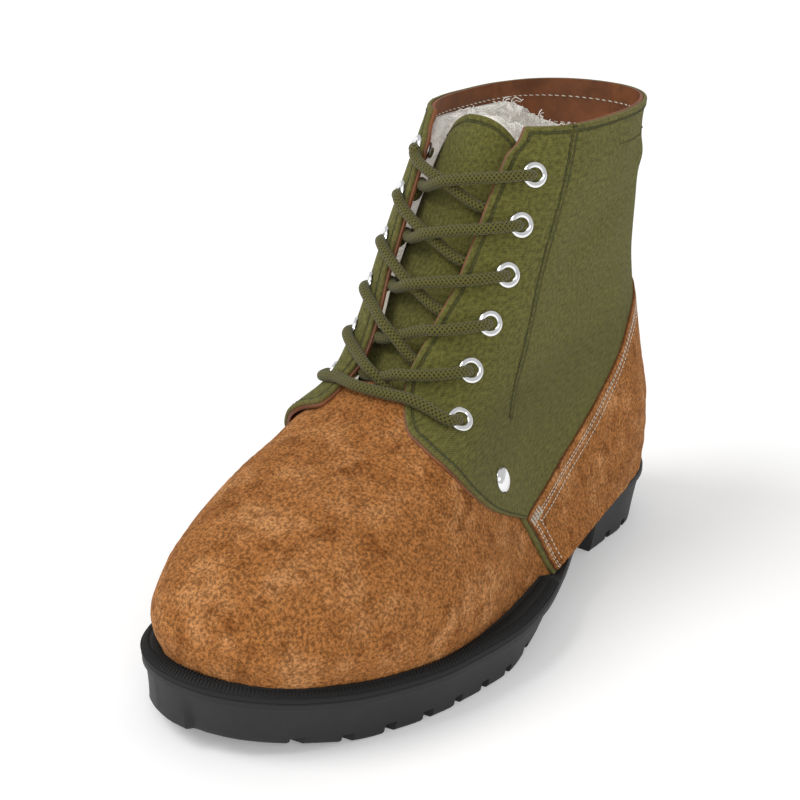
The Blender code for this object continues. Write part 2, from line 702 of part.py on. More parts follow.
def make_rivet(skin, side, parent):
    """Domed rivet where the flap is held down on the vamp."""
    level, place = skin.find(*RIVET[side], side)
    here, normal, along = skin.axes(level, place, GAP + CANVAS)
    turns = np.arange(RIVET_SIDES) * 2 * pi / RIVET_SIDES
    spokes = np.outer(np.cos(turns), along) + np.outer(np.sin(turns), np.cross(normal, along))
    rings = [here + normal * height + spokes * radius for radius, height in RIVET_PROFILE]
    name = "rivet_lateral" if side == LATERAL else "rivet_medial"
    return solid(name, *closed_rings(np.array(rings)), "steel", parent)


def lace_path(skin, stops, count):
    """Smooth path over the front, through (level, across, offset) stops."""
    stops = np.asarray(stops, float)
    scale = np.array((400.0, 1.0, 1.0))
    places = spread(stops * scale, count) / scale
    return np.array([skin.front(*place) for place in places])


def make_laces(skin, parent):
    """Straight bar between the lowest eyelets and five crossings above it."""
    rows = {side: [(level, skin.across(level, place)) for level, place in eyelet_places(skin, side)]
            for side in (LATERAL, MEDIAL)}
    over = GAP + CANVAS + SEAT + LACE_RADIUS + 0.3
    clear = EYELET_FLANGE + SEAT + 0.7
    stops = []
    for side in (MEDIAL, LATERAL):
        level, across = rows[side][0]
        stops.append((level, across - side * clear, over))
    near = BAR_LEVEL - BAR_DROP
    bar = [stops[0], (near, -BAR_HALF, over), (BAR_LEVEL, 0, over), (near, BAR_HALF, over), stops[1]]
    net = tube_net(lace_path(skin, bar, 9), LACE_RADIUS, LACE_SIDES)
    solid("lace_bar", *closed_rings(net), "lace", parent)
    for row in range(EYELET_ROWS - 1):
        arms = []
        for side in (LATERAL, MEDIAL):
            far_level, far = rows[side][row + 1]
            near_level, _ = rows[-side][row]
            near_next, _ = rows[-side][row + 1]
            start = near_level + LACE_RISE[min(row, 1)] * (near_next - near_level)
            gap = float(through(THROAT_LEVELS, THROAT_HALF, start))
            edge = float(through(THROAT_LEVELS, THROAT_HALF, far_level))
            lift = 1.2 if side == LATERAL else -1.2
            middle = start + LACE_MIDDLE * (far_level - start)
            path = (
                (start, -side * (gap - LACE_RADIUS - 1.2), LACE_START),
                (middle, 0, 0.6 + lift),
                (far_level - 0.12 * (far_level - start), side * (edge - 2), over),
                (far_level, far - side * clear, over),
            )
            net = tube_net(lace_path(skin, path, 8), LACE_RADIUS, LACE_SIDES)
            arms.append(closed_rings(net))
        crossing = solid(f"lace_crossing_{row + 1}", *arms[0], "lace", parent)
        cut(crossing, solid(f"lace_arm_{row + 1}", *arms[1], None, parent), "UNION")


def main():
    """Build the boot and set its frame at the middle of its footprint, on the floor."""
    for old in list(bpy.data.objects):
        bpy.data.objects.remove(old, do_unlink=True)
    boot = bpy.data.objects.new("boot", None)
    bpy.context.scene.collection.objects.link(boot)
    skin = Skin()
    make_outsole(boot)
    make_welt(skin, boot)
    make_insole(skin, boot)
    upper = make_upper(skin, boot)
    make_counter(skin, boot)
    make_tongue(skin, boot)
    flap = spread(FLAP_EDGE, 14)
    edge = np.concatenate([flap, spread(COUNTER_TOP, 16)[1:], [(160, 230), (flap[0][0], 230)]])
    quarter_seam = prism("quarter_seam", edge, boot)
    for side in (LATERAL, MEDIAL):
        quarter = make_quarter(skin, side, quarter_seam, boot)
        make_eyelets(skin, side, boot, (upper, quarter))
        make_rivet(skin, side, boot)
    make_laces(skin, boot)
    corners = []
    for piece in boot.children:
        if not piece.hide_render:
            corners.extend(vertex.co for vertex in piece.data.vertices)
    low = [min(corner[k] for corner in corners) for k in range(3)]
    high = [max(corner[k] for corner in corners) for k in range(3)]
    boot.location = Vector((-(low[0] + high[0]) / 2, -(low[1] + high[1]) / 2, -low[2]))
    bpy.context.view_layer.update()


main()
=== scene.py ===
"""Looks of a lace-up ankle boot for the left foot: suede, canvas, fleece, metal and rubber.

Shapes are worked out in millimetres in the boot's own frame (+Z up, toe towards -Y, outer side of the foot
towards +X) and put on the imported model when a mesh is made. A point of the upper is given by its level
(0 feather line, 1 collar) and its share of the way round (0 front centre, 1 back centre, medial negative).
"""

import logging
from dataclasses import dataclass, field
from enum import Enum
from math import pi, radians, tau
from typing import Any, Callable, Sequence

import bmesh
import bpy
import numpy as np
from mathutils import Matrix, Vector


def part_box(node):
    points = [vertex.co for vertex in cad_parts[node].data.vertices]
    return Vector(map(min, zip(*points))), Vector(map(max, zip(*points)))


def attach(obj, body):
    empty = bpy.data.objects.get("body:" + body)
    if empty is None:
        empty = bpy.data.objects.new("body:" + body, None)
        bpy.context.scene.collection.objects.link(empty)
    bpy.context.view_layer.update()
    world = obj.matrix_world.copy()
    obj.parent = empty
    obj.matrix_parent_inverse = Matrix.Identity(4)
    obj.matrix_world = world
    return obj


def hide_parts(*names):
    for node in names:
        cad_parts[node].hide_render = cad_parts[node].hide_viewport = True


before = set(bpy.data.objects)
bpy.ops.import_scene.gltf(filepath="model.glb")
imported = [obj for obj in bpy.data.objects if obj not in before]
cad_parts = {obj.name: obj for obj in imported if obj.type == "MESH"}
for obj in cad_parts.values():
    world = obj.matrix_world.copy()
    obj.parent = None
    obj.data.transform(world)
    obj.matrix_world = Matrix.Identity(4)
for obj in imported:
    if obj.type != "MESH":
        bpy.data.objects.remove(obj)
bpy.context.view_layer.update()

LOG = logging.getLogger("boot")
MM = 0.001
UV_TILE = 100.0  # millimetres for one unit of a piece's own map
NO_SEAM = 99.0  # distance that keeps a point clear of every seam
OLIVE_STITCH = (2.3, (1.9, 0.5, 0.4))  # step, then length, width and height of a stitch


class Side(Enum):
    """Side of the foot. The value is the sign of X."""

    LATERAL = 1
    MEDIAL = -1


def spline(keys: Sequence[float], values: Sequence[float], at: Any) -> np.ndarray:
    """Read a smooth curve through the values of a table, without overshoot.

    Args:
        keys: rising positions of the rows.
        values: one value for each row.
        at: positions to read.

    Returns:
        The values there.
    """
    keys, values = np.asarray(keys, float), np.asarray(values, float)
    at = np.clip(at, keys[0], keys[-1])
    rise = np.diff(values) / np.diff(keys)
    slope = np.concatenate([rise[:1], rise])
    turning = rise[:-1] * rise[1:] <= 0
    total = np.where(turning, 1.0, rise[:-1] + rise[1:])
    slope[1:-1] = np.where(turning, 0.0, 2 * rise[:-1] * rise[1:] / total)
    i = np.clip(np.searchsorted(keys, at, side="right") - 1, 0, len(keys) - 2)
    span = keys[i + 1] - keys[i]
    t = (at - keys[i]) / span
    start = (1 + 2 * t) * (1 - t) ** 2 * values[i] + t * (1 - t) ** 2 * span * slope[i]
    return start + t * t * (3 - 2 * t) * values[i + 1] - t * t * (1 - t) * span * slope[i + 1]


def lengths(points: np.ndarray, axis: int = 0) -> np.ndarray:
    """Measure the running length along rows of points.

    Args:
        points: points, their coordinates along the last axis.
        axis: the axis that the rows follow.

    Returns:
        The length from the first point to each one.
    """
    steps = np.linalg.norm(np.diff(points, axis=axis), axis=-1)
    start = np.zeros_like(np.take(steps, [0], axis=axis))
    return np.concatenate([start, np.cumsum(steps, axis=axis)], axis=axis)


def smooth_row(points: Sequence[Sequence[float]], shares: Any) -> np.ndarray:
    """Lay a smooth curve through a few points.

    Args:
        points: the points, any number of coordinates.
        shares: places along it from 0 to 1.

    Returns:
        A point for each share.
    """
    points = np.asarray(points, float)
    run = lengths(points)
    fine = np.linspace(0, run[-1], 40 * len(points))
    curve = np.column_stack([spline(run, points[:, k], fine) for k in range(points.shape[1])])
    run = lengths(curve)
    places = np.asarray(shares) * run[-1]
    return np.column_stack([np.interp(places, run, curve[:, k]) for k in range(points.shape[1])])


def bump_noise(points: np.ndarray, size: float, seed: int) -> np.ndarray:
    """Soft uneven height made of a few crossing waves.

    Args:
        points: points in millimetres.
        size: width of one hump in millimetres.
        seed: picks the waves.

    Returns:
        Height at each point, roughly from -1 to 1.
    """
    random = np.random.default_rng(seed)
    height = np.zeros(points.shape[:-1])
    for _ in range(9):
        wave = random.normal(size=3)
        wave *= pi / size * random.uniform(0.6, 1.4) / np.linalg.norm(wave)
        height += np.sin(points @ wave + random.uniform(0, tau))
    return height / 3.2


@dataclass(frozen=True)
class Sole:
    """Outline and heights of the sole: a row for each station."""

    columns: tuple = ("y", "lateral", "medial", "top", "underside")
    rows: tuple = (
        (-151, 45.0, 47.0, 29.5, 9.0),
        (-126, 50.0, 49.0, 24.5, 4.0),
        (-100, 55.0, 50.0, 21.5, 0.0),
        (-65, 63.0, 51.0, 20.5, 0.0),
        (-30, 66.5, 48.0, 20.5, 0.0),
        (-8, 64.0, 44.0, 21.0, 5.0),
        (20, 56.0, 36.0, 22.5, 11.0),
        (50, 45.0, 33.0, 25.0, 13.5),
        (80, 38.5, 34.5, 26.5, 14.0),
        (110, 38.0, 36.0, 27.0, 14.0),
        (150, 38.0, 36.0, 27.0, 14.0),
    )
    toe: float = -151.0
    heel: float = 147.5
    toe_round: tuple = (55.0, 85.0)  # medial, lateral
    heel_round: float = 46.0
    flat: tuple = (-100.0, -30.0)
    breast: float = 81.0

    def column(self, name: str, y: Any) -> np.ndarray:
        """Value of a column at stations y."""
        return spline([r[0] for r in self.rows], [r[self.columns.index(name)] for r in self.rows], y)

    def top(self, y: Any) -> np.ndarray:
        """Height of the sole's upper face."""
        return self.column("top", y)

    def underside(self, y: np.ndarray) -> np.ndarray:
        """Height of the lower face without its lugs."""
        flat = (y >= self.flat[0]) & (y <= self.flat[1])
        return np.where(flat | (y >= self.breast - 0.01), 0.0, self.column("underside", y))

    def edge(self, y: np.ndarray, side: Side) -> np.ndarray:
        """Place across of the outline on one side."""
        tip = -3.0 * np.clip((-40.0 - y) / (-40.0 - self.toe), 0, 1)
        radius = self.toe_round[0 if side is Side.MEDIAL else 1]
        ends = rounded(y - self.toe, radius) * rounded(self.heel - y, self.heel_round)
        return tip + side.value * (self.column(side.name.lower(), y) - side.value * tip) * ends


def rounded(distance: Any, radius: float, power: float = 2.2) -> np.ndarray:
    """Share of the full width at a distance from a round end."""
    part = np.clip(1 - np.asarray(distance, float) / radius, 0, 1)
    return (1 - part ** power) ** (1 / power)


SOLE = Sole()
WIDEST = 66.5  # the sole's lateral half width at the ball
SHIFT = np.array((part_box("outsole")[1].x / MM - WIDEST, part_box("outsole")[0].y / MM - SOLE.toe, 0.0))


@dataclass(frozen=True)
class Crease:
    """Soft trough (negative depth) or ridge between two points of the upper."""

    start: tuple
    end: tuple
    depth: float
    width: float

    def height(self, points: np.ndarray) -> np.ndarray:
        """Height that it adds at each point."""
        start, along = np.array(self.start, float), np.array(self.end, float) - self.start
        t = np.clip((points - start) @ along / along.dot(along), 0, 1)
        away = np.linalg.norm(points - (start + t[..., None] * along), axis=-1)
        return self.depth * np.exp(-(away / self.width) ** 2)


@dataclass
class Last:
    """Outer face of the upper over the last."""

    stations: tuple = (-115.0, -55.0, 25.0, 105.0)
    columns: tuple = (
        "front_y", "front_z", "back_y", "back_z",
        "lateral_toe", "lateral_ball", "lateral_waist", "lateral_heel",
        "medial_toe", "medial_ball", "medial_waist", "medial_heel",
        "front_round", "back_round", "front_x",
    )
    rows: tuple = (
        (-144, 29.0, 144.0, 27.0, 47, 58, 51, 36.5, 43, 45, 37, 35, 80, 52, -3),
        (-149, 45.0, 146.0, 44.0, 54, 60, 43, 37, 48, 49, 42, 36, 80, 54, -4),
        (-142, 60.5, 146.0, 62.0, 51, 54, 37.5, 36, 46, 48, 44, 36, 82, 54, -5),
        (-121, 74.5, 143.0, 80.0, 47, 47, 34, 33.5, 43, 44, 43, 35, 84, 54, -6),
        (-88, 86.0, 139.0, 99.0, 40, 40, 32.5, 31.5, 40, 40, 41, 34, 80, 52, -6),
        (-50, 97.5, 135.5, 118.0, 34, 34, 31.5, 29.5, 38, 38, 40, 33, 64, 50, -6),
        (-26, 116.0, 133.0, 139.0, 31, 31, 31, 29, 37, 37, 40, 34, 50, 50, -6),
        (-4, 148.0, 133.5, 166.0, 29, 29, 31, 29.5, 37, 37, 41, 36, 46, 50, -6),
        (27, 203.0, 135.0, 200.5, 25, 25, 32, 31, 34, 34, 41, 39, 48, 50, -6),
    )
    creases: tuple = (
        Crease((-40, 105, 190), (30, 118, 190), -1.5, 6.0),
        Crease((-44, 100, 178), (31, 112, 178), 1.5, 6.5),
        Crease((-30, 128, 166), (24, 126, 165), -1.3, 6.0),
        Crease((30, 104, 168), (32, 52, 150), -1.1, 7.0),
        Crease((32, 60, 182), (31, 92, 186), 0.9, 7.0),
        Crease((31, 70, 128), (34, 20, 112), 0.9, 8.0),
        Crease((32, 96, 138), (33, 44, 122), -1.0, 8.0),
        Crease((-46, 96, 150), (-44, 30, 128), -1.1, 8.0),
        Crease((-46, 80, 172), (-44, 34, 158), 0.9, 8.0),
        Crease((20, -62, 84), (44, -52, 62), -0.9, 9.0),
        Crease((-26, -60, 84), (-44, -46, 60), -0.9, 9.0),
        Crease((10, -92, 84), (34, -84, 72), 0.6, 11.0),
        Crease((-18, -34, 107), (-19, -2, 150), -2.6, 12.0),
        Crease((-20, 8, 166), (-22, 32, 206), -2.2, 12.0),
    )
    level_steps: int = 160
    arc_steps: int = 200
    levels: np.ndarray = field(init=False)
    points: np.ndarray = field(init=False)
    normals: np.ndarray = field(init=False)
    arcs: dict = field(init=False)

    def __post_init__(self) -> None:
        """Work out the net of points and normals."""
        self.levels = np.linspace(0, 1, self.level_steps + 1)
        halves = {side: np.array([self.half_loop(v, side) for v in self.levels]) for side in Side}
        self.points = np.concatenate([halves[Side.MEDIAL], halves[Side.LATERAL][:, -2::-1]], axis=1)
        self.normals = self.face_normals()
        relief = sum(crease.height(self.points) for crease in self.creases)
        self.points = self.points + self.normals * relief[..., None]
        self.normals = self.face_normals()
        middle = self.arc_steps
        run = {Side.MEDIAL: self.points[:, :middle + 1], Side.LATERAL: self.points[:, middle:]}
        self.arcs = {side: lengths(half, axis=1)[:, -1] for side, half in run.items()}

    def half_loop(self, v: float, side: Side) -> np.ndarray:
        """Evenly spaced points of one level on one side, from the front centre to the back centre."""
        row = {name: spline(np.linspace(0, 1, len(self.rows)), [r[k] for r in self.rows], v)
               for k, name in enumerate(self.columns)}
        share = (1 - np.cos(np.linspace(0, pi, 700))) / 2
        y = row["front_y"] + (row["back_y"] - row["front_y"]) * share
        widths = [row[f"{side.name.lower()}_{station}"] for station in ("toe", "ball", "waist", "heel")]
        centre = row["front_x"] * (1 - share * share * (3 - 2 * share))
        cap = rounded(y - row["front_y"], row["front_round"]) * rounded(row["back_y"] - y, row["back_round"])
        x = centre + side.value * (spline(self.stations, widths, y) - side.value * centre) * cap
        chord = np.interp(y, (SOLE.toe, SOLE.heel), (self.rows[0][1], self.rows[0][3]))
        fade = max(0.0, 1 - 2.2 * v) ** 1.5
        z = row["front_z"] + (row["back_z"] - row["front_z"]) * share
        curve = np.column_stack([x, y, z + (SOLE.top(y) + 0.3 - chord) * fade])
        run = lengths(curve)
        even = np.linspace(0, run[-1], self.arc_steps + 1)
        return np.column_stack([np.interp(even, run, curve[:, k]) for k in range(3)])

    def face_normals(self) -> np.ndarray:
        """Outward normals of the net."""
        ring = self.points[:, :-1]
        along = np.roll(ring, -1, axis=1) - np.roll(ring, 1, axis=1)
        normals = np.cross(np.gradient(ring, axis=0), along)
        normals /= np.linalg.norm(normals, axis=2, keepdims=True)
        return np.concatenate([normals, normals[:, :1]], axis=1)

    def sample(self, net: np.ndarray, level: np.ndarray, share: np.ndarray) -> np.ndarray:
        """Read a net between its points.

        Args:
            net: values on the net.
            level: levels from 0 to 1.
            share: signed shares of the way round.

        Returns:
            The values there.
        """
        a = np.clip(level, 0, 1) * self.level_steps
        place = np.where(share >= 0, 1 - share, -1 - share)
        b = (np.clip(place, -1, 1) + 1) * self.arc_steps
        i = np.minimum(a.astype(int), self.level_steps - 1)
        j = np.minimum(b.astype(int), 2 * self.arc_steps - 1)
        s, t = (a - i)[..., None], (b - j)[..., None]
        low = net[i, j] * (1 - t) + net[i, j + 1] * t
        return low * (1 - s) + (net[i + 1, j] * (1 - t) + net[i + 1, j + 1] * t) * s

    def at(self, level: Any, share: Any, offset: Any = 0.0) -> np.ndarray:
        """Points of the upper moved outwards by an offset."""
        level, share, offset = np.broadcast_arrays(np.asarray(level, float), share, offset)
        normal = self.sample(self.normals, level, share)
        normal = normal / np.linalg.norm(normal, axis=-1, keepdims=True)
        return self.sample(self.points, level, share) + normal * offset[..., None]

    def normal(self, level: Any, share: Any) -> np.ndarray:
        """Outward unit normals."""
        return self.at(level, share, 1.0) - self.at(level, share)

    def arc(self, level: Any, side: Side) -> np.ndarray:
        """Length from the front centre to the back centre along a level."""
        return np.interp(level, self.levels, self.arcs[side])

    def find(self, y: float, z: float, side: Side) -> tuple:
        """Level and signed share of a point given in side view."""
        heights, shares = [], []
        for row in self.points:
            half = row[self.arc_steps:][::-1] if side is Side.LATERAL else row[:self.arc_steps + 1]
            even = np.linspace(0, 1, self.arc_steps + 1)
            heights.append(np.interp(y, half[:, 1], half[:, 2]) if y >= half[0, 1] else np.inf)
            shares.append(np.interp(y, half[:, 1], even))
        heights = np.array(heights)
        inside = np.isfinite(heights)
        level = np.interp(z, heights[inside], self.levels[inside])
        return level, side.value * np.interp(level, self.levels[inside], np.array(shares)[inside])

    def across(self, level: Any, distance: Any) -> np.ndarray:
        """Signed share at a distance across the front centre."""
        distance = np.asarray(distance, float)
        arc = np.where(distance > 0, self.arc(level, Side.LATERAL), self.arc(level, Side.MEDIAL))
        return distance / arc

    def trace(self, marks: Sequence[tuple], count: int, side: Side) -> np.ndarray:
        """Levels and shares along a smooth line given in side view."""
        return np.array([self.find(y, z, side) for y, z in smooth_row(marks, np.linspace(0, 1, count))])


LAST = Last()


def triangles_of(piece: bpy.types.Object) -> int:
    """Number of triangles in a piece."""
    return sum(len(polygon.vertices) - 2 for polygon in piece.data.polygons)


def make_mesh(name: str, points: np.ndarray, faces: Sequence, finish: bpy.types.Material,
              values: dict | None = None, uv: np.ndarray | None = None,
              angle: float = 50.0) -> bpy.types.Object:
    """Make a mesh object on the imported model.

    Args:
        name: name of the piece.
        points: points in millimetres in the boot's frame.
        faces: corner numbers of each face.
        finish: its material.
        values: point attributes by name.
        uv: texture place of each point.
        angle: edges sharper than this many degrees stay sharp.

    Returns:
        The new object.
    """
    mesh = bpy.data.meshes.new(name)
    mesh.from_pydata(((points + SHIFT) * MM).tolist(), [], [tuple(map(int, face)) for face in faces])
    for key, numbers in (values or {}).items():
        attribute = mesh.attributes.new(key, "FLOAT", "POINT")
        attribute.data.foreach_set("value", np.asarray(numbers, np.float32).ravel())
    if uv is not None:
        corners = np.zeros(len(mesh.loops), np.int32)
        mesh.loops.foreach_get("vertex_index", corners)
        layer = mesh.uv_layers.new(name="surface")
        layer.data.foreach_set("uv", uv[corners].astype(np.float32).ravel())
    mesh.materials.append(finish)
    mesh.shade_smooth()
    mesh.set_sharp_from_angle(angle=radians(angle))
    piece = bpy.data.objects.new(name, mesh)
    bpy.context.scene.collection.objects.link(piece)
    return piece


def place_piece(piece: bpy.types.Object, slot: str, *nodes: str) -> bpy.types.Object:
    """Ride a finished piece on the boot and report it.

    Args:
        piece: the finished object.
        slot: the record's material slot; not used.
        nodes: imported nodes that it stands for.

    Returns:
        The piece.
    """
    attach(piece, "root")
    if nodes:
        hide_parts(*nodes)
    LOG.info("%s: %d triangles", piece.name, triangles_of(piece))
    return piece


def flat_copy(piece: bpy.types.Object) -> bpy.types.Object:
    """Turn a piece with modifiers into a plain mesh.

    Args:
        piece: object with live modifiers.

    Returns:
        The same object with its evaluated mesh and no modifiers.
    """
    bpy.context.view_layer.update()
    evaluated = piece.evaluated_get(bpy.context.evaluated_depsgraph_get())
    mesh = bpy.data.meshes.new_from_object(evaluated)
    mesh.name = piece.name
    old = piece.data
    piece.modifiers.clear()
    piece.data = mesh
    bpy.data.meshes.remove(old)
    return piece


def carve(piece: bpy.types.Object, cutters: Sequence[bpy.types.Object]) -> bpy.types.Object:
    """Cut closed shapes out of a piece and remove them.

    Args:
        piece: the closed piece.
        cutters: closed shapes.

    Returns:
        The piece with its holes.
    """
    for cutter in cutters:
        modifier = piece.modifiers.new(cutter.name, "BOOLEAN")
        modifier.object = cutter
        modifier.solver = "EXACT"
    flat_copy(piece)
    for cutter in cutters:
        bpy.data.objects.remove(cutter, do_unlink=True)
    return piece


def wall(outer: np.ndarray, inner: np.ndarray) -> tuple:
    """Close the space between two nets.

    Args:
        outer: net of rows by columns.
        inner: net of the same size.

    Returns:
        Points, the outer net's first, and faces that point outwards.
    """
    rows, columns, _ = outer.shape
    index = np.arange(rows * columns).reshape(rows, columns)
    far = index + rows * columns
    a, b, c, d = index[:-1, :-1], index[:-1, 1:], index[1:, 1:], index[1:, :-1]
    faces = np.concatenate([
        np.stack([a, b, c, d], -1).reshape(-1, 4),
        np.stack([a, d, c, b], -1).reshape(-1, 4) + rows * columns,
        np.stack([index[0, :-1], far[0, :-1], far[0, 1:], index[0, 1:]], -1),
        np.stack([index[-1, :-1], index[-1, 1:], far[-1, 1:], far[-1, :-1]], -1),
        np.stack([index[:-1, 0], index[1:, 0], far[1:, 0], far[:-1, 0]], -1),
        np.stack([index[:-1, -1], far[:-1, -1], far[1:, -1], index[1:, -1]], -1),
    ])
    points = np.concatenate([outer.reshape(-1, 3), inner.reshape(-1, 3)])
    corner = points[faces] - points.mean(0)
    volume = sum(np.einsum("ij,ij->i", corner[:, 0], np.cross(corner[:, k], corner[:, k + 1])).sum()
                 for k in (1, 2))
    return points, (faces[:, ::-1] if volume < 0 else faces)


def ring_faces(count: int, size: int, flip: bool = False) -> list:
    """Join rings of points that follow one another.

    Args:
        count: number of rings.
        size: points of a ring.
        flip: True to turn the faces over.

    Returns:
        The quads, ring by ring.
    """
    faces = []
    for i in range(count - 1):
        for j in range(size):
            k = (j + 1) % size
            a, b, c, d = i * size + j, (i + 1) * size + j, (i + 1) * size + k, i * size + k
            faces.append((a, d, c, b) if flip else (a, b, c, d))
    return faces


def tube_faces(count: int, size: int, flip: bool = False) -> list:
    """Join rings of points as ring_faces does, and close the first and the last one."""
    first, last = tuple(range(size)), tuple(range((count - 1) * size, count * size))
    caps = [first[::-1], last] if flip else [first, last[::-1]]
    return caps + ring_faces(count, size, flip)


def axes_at(level: float, share: float) -> tuple:
    """Point of the upper, with unit vectors along its level, up across it and outwards."""
    here, out = LAST.at(level, share), LAST.normal(level, share)
    along = LAST.at(level, share + 0.004) - LAST.at(level, share - 0.004)
    along /= np.linalg.norm(along)
    return here, along, np.cross(out, along), out


@dataclass
class Patch:
    """Four-sided piece of the upper: its rows run from bottom to top, its columns from front to back."""

    net: np.ndarray  # level and share of each point

    @classmethod
    def between(cls, front: np.ndarray, back: np.ndarray, bottom: np.ndarray, top: np.ndarray,
                across: np.ndarray, up: np.ndarray) -> "Patch":
        """Fill the space between four border lines.

        Args:
            front, back: borders from the bottom to the top, as levels and shares.
            bottom, top: borders from the front to the back.
            across: places of the columns from 0 to 1.
            up: places of the rows from 0 to 1.

        Returns:
            The patch.
        """
        sides = []
        for border, places in ((front, up), (back, up), (bottom, across), (top, across)):
            run = lengths(LAST.at(border[:, 0], border[:, 1]))
            where = places * run[-1]
            sides.append(np.column_stack([np.interp(where, run, border[:, k]) for k in range(2)]))
        f, b, low, high = sides[0][:, None], sides[1][:, None], sides[2][None], sides[3][None]
        u, v = across[None, :, None], up[:, None, None]
        net = (1 - u) * f + u * b + (1 - v) * low + v * high
        net -= (1 - u) * (1 - v) * f[0] + u * (1 - v) * b[0] + (1 - u) * v * f[-1] + u * v * b[-1]
        return cls(net)

    def points(self, offset: Any = 0.0) -> np.ndarray:
        """Points of the patch at an offset."""
        return LAST.at(self.net[..., 0], self.net[..., 1], offset)

    def from_front(self) -> np.ndarray:
        """Distance of each point from the front border."""
        return lengths(self.points(), axis=1)

    def from_top(self) -> np.ndarray:
        """Distance of each point from the top border."""
        return lengths(self.points()[::-1], axis=0)[::-1]

    def uv(self) -> np.ndarray:
        """Texture places in millimetres, along the levels and up the upper."""
        flat = self.points()
        side = np.where(self.net[..., 1] > 0, self.net[..., 1] * LAST.arc(self.net[..., 0], Side.LATERAL),
                        self.net[..., 1] * LAST.arc(self.net[..., 0], Side.MEDIAL))
        return np.stack([side, flat[..., 2] + 0.12 * flat[..., 1]], -1)

    def piece(self, name: str, finish: bpy.types.Material, outer: Any, inner: Any, roll: float = 0.0,
              values: dict | None = None) -> bpy.types.Object:
        """Make the patch a wall.

        Args:
            name: name of the piece.
            finish: its material.
            outer: offset of its outer face.
            inner: offset of its inner face.
            roll: radius of its rounded front and top edges.
            values: attributes of its points.

        Returns:
            The new object.
        """
        outer = np.broadcast_to(np.asarray(outer, float), self.net.shape[:2])
        inner = np.broadcast_to(np.asarray(inner, float), self.net.shape[:2])
        if roll:
            away = np.minimum(self.from_front(), self.from_top())
            ease = np.sqrt(1 - (1 - np.clip(away / roll, 0, 1)) ** 2)
            middle = (outer + inner) / 2
            outer = middle + (outer - middle) * (0.25 + 0.75 * ease)
        points, faces = wall(self.points(outer), self.points(inner))
        both = {key: np.tile(v.ravel(), 2) for key, v in (values or {}).items()}
        uv = np.tile(self.uv().reshape(-1, 2), (2, 1)) / UV_TILE
        return make_mesh(name, points, faces, finish, both, uv)

    def line_by_front(self, distance: float, floor: float = 0.0) -> np.ndarray:
        """Levels and shares of a line at a distance from the front border, below a margin from the top."""
        away, top = self.from_front(), self.from_top()
        rows = [[np.interp(distance, away[i], self.net[i, :, k]) for k in range(2)]
                for i in range(len(away)) if top[i, 0] > floor]
        return np.array(rows)

    def line_by_top(self, distance: float, margin: float = 0.0) -> np.ndarray:
        """Levels and shares of a line at a distance from the top border, past a margin from the front."""
        away, front = self.from_top(), self.from_front()
        rows = [[np.interp(distance, away[::-1, j], self.net[::-1, j, k]) for k in range(2)]
                for j in range(away.shape[1]) if front[-1, j] > margin]
        return np.array(rows)


class Tree:
    """Adds nodes to a node tree, each input given as a value or as another node's socket."""

    def __init__(self, tree: bpy.types.NodeTree) -> None:
        """Work on a tree."""
        self.tree = tree

    def add(self, kind: str, inputs: dict | None = None, **settings: Any) -> bpy.types.Node:
        """Add a node.

        Args:
            kind: Blender's name of the node.
            inputs: value or socket for each input, by name or number.
            settings: properties of the node.

        Returns:
            The node.
        """
        node = self.tree.nodes.new(kind)
        for key, value in settings.items():
            setattr(node, key, value)
        for key, value in (inputs or {}).items():
            if isinstance(value, bpy.types.NodeSocket):
                self.tree.links.new(value, node.inputs[key])
            else:
                node.inputs[key].default_value = value
        return node

    def math(self, operation: str, a: Any, b: Any = 0.0, clamp: bool = False) -> bpy.types.NodeSocket:
        """Result of a sum on one or two numbers."""
        return self.add("ShaderNodeMath", {0: a, 1: b}, operation=operation, use_clamp=clamp).outputs[0]

    def mix(self, factor: Any, a: Any, b: Any, blend: str = "MIX") -> bpy.types.NodeSocket:
        """Mix of two colours."""
        node = self.add("ShaderNodeMix", {0: factor, 6: a, 7: b}, data_type="RGBA", blend_type=blend)
        return node.outputs[2]

    def noise(self, vector: Any, scale: Any, detail: float = 2.0, rough: float = 0.5) -> bpy.types.NodeSocket:
        """Noise value."""
        values = {"Vector": vector, "Scale": scale, "Detail": detail, "Roughness": rough}
        return self.add("ShaderNodeTexNoise", values).outputs["Fac"]

    def band(self, value: Any, low: float, high: float) -> bpy.types.NodeSocket:
        """0 below a value, 1 above another, smooth between."""
        values = {"Value": value, "From Min": low, "From Max": high}
        return self.add("ShaderNodeMapRange", values, interpolation_type="SMOOTHSTEP").outputs["Result"]


def shader_group(name: str, inputs: dict, outputs: dict, build: Callable) -> bpy.types.NodeTree:
    """Make a shader node group.

    Args:
        name: its name.
        inputs: socket type and default value by name.
        outputs: socket type by name.
        build: takes a Tree and the input sockets, and returns a socket for each output.

    Returns:
        The group.
    """
    tree = bpy.data.node_groups.new(name, "ShaderNodeTree")
    for key, (kind, value) in inputs.items():
        socket = tree.interface.new_socket(name=key, in_out="INPUT", socket_type=kind)
        if value is not None:
            socket.default_value = value
    for key, kind in outputs.items():
        tree.interface.new_socket(name=key, in_out="OUTPUT", socket_type=kind)
    graph = Tree(tree)
    given = graph.add("NodeGroupInput")
    graph.add("NodeGroupOutput", build(graph, given.outputs))
    return tree


FLOAT, COLOUR, VECTOR = "NodeSocketFloat", "NodeSocketColor", "NodeSocketVector"


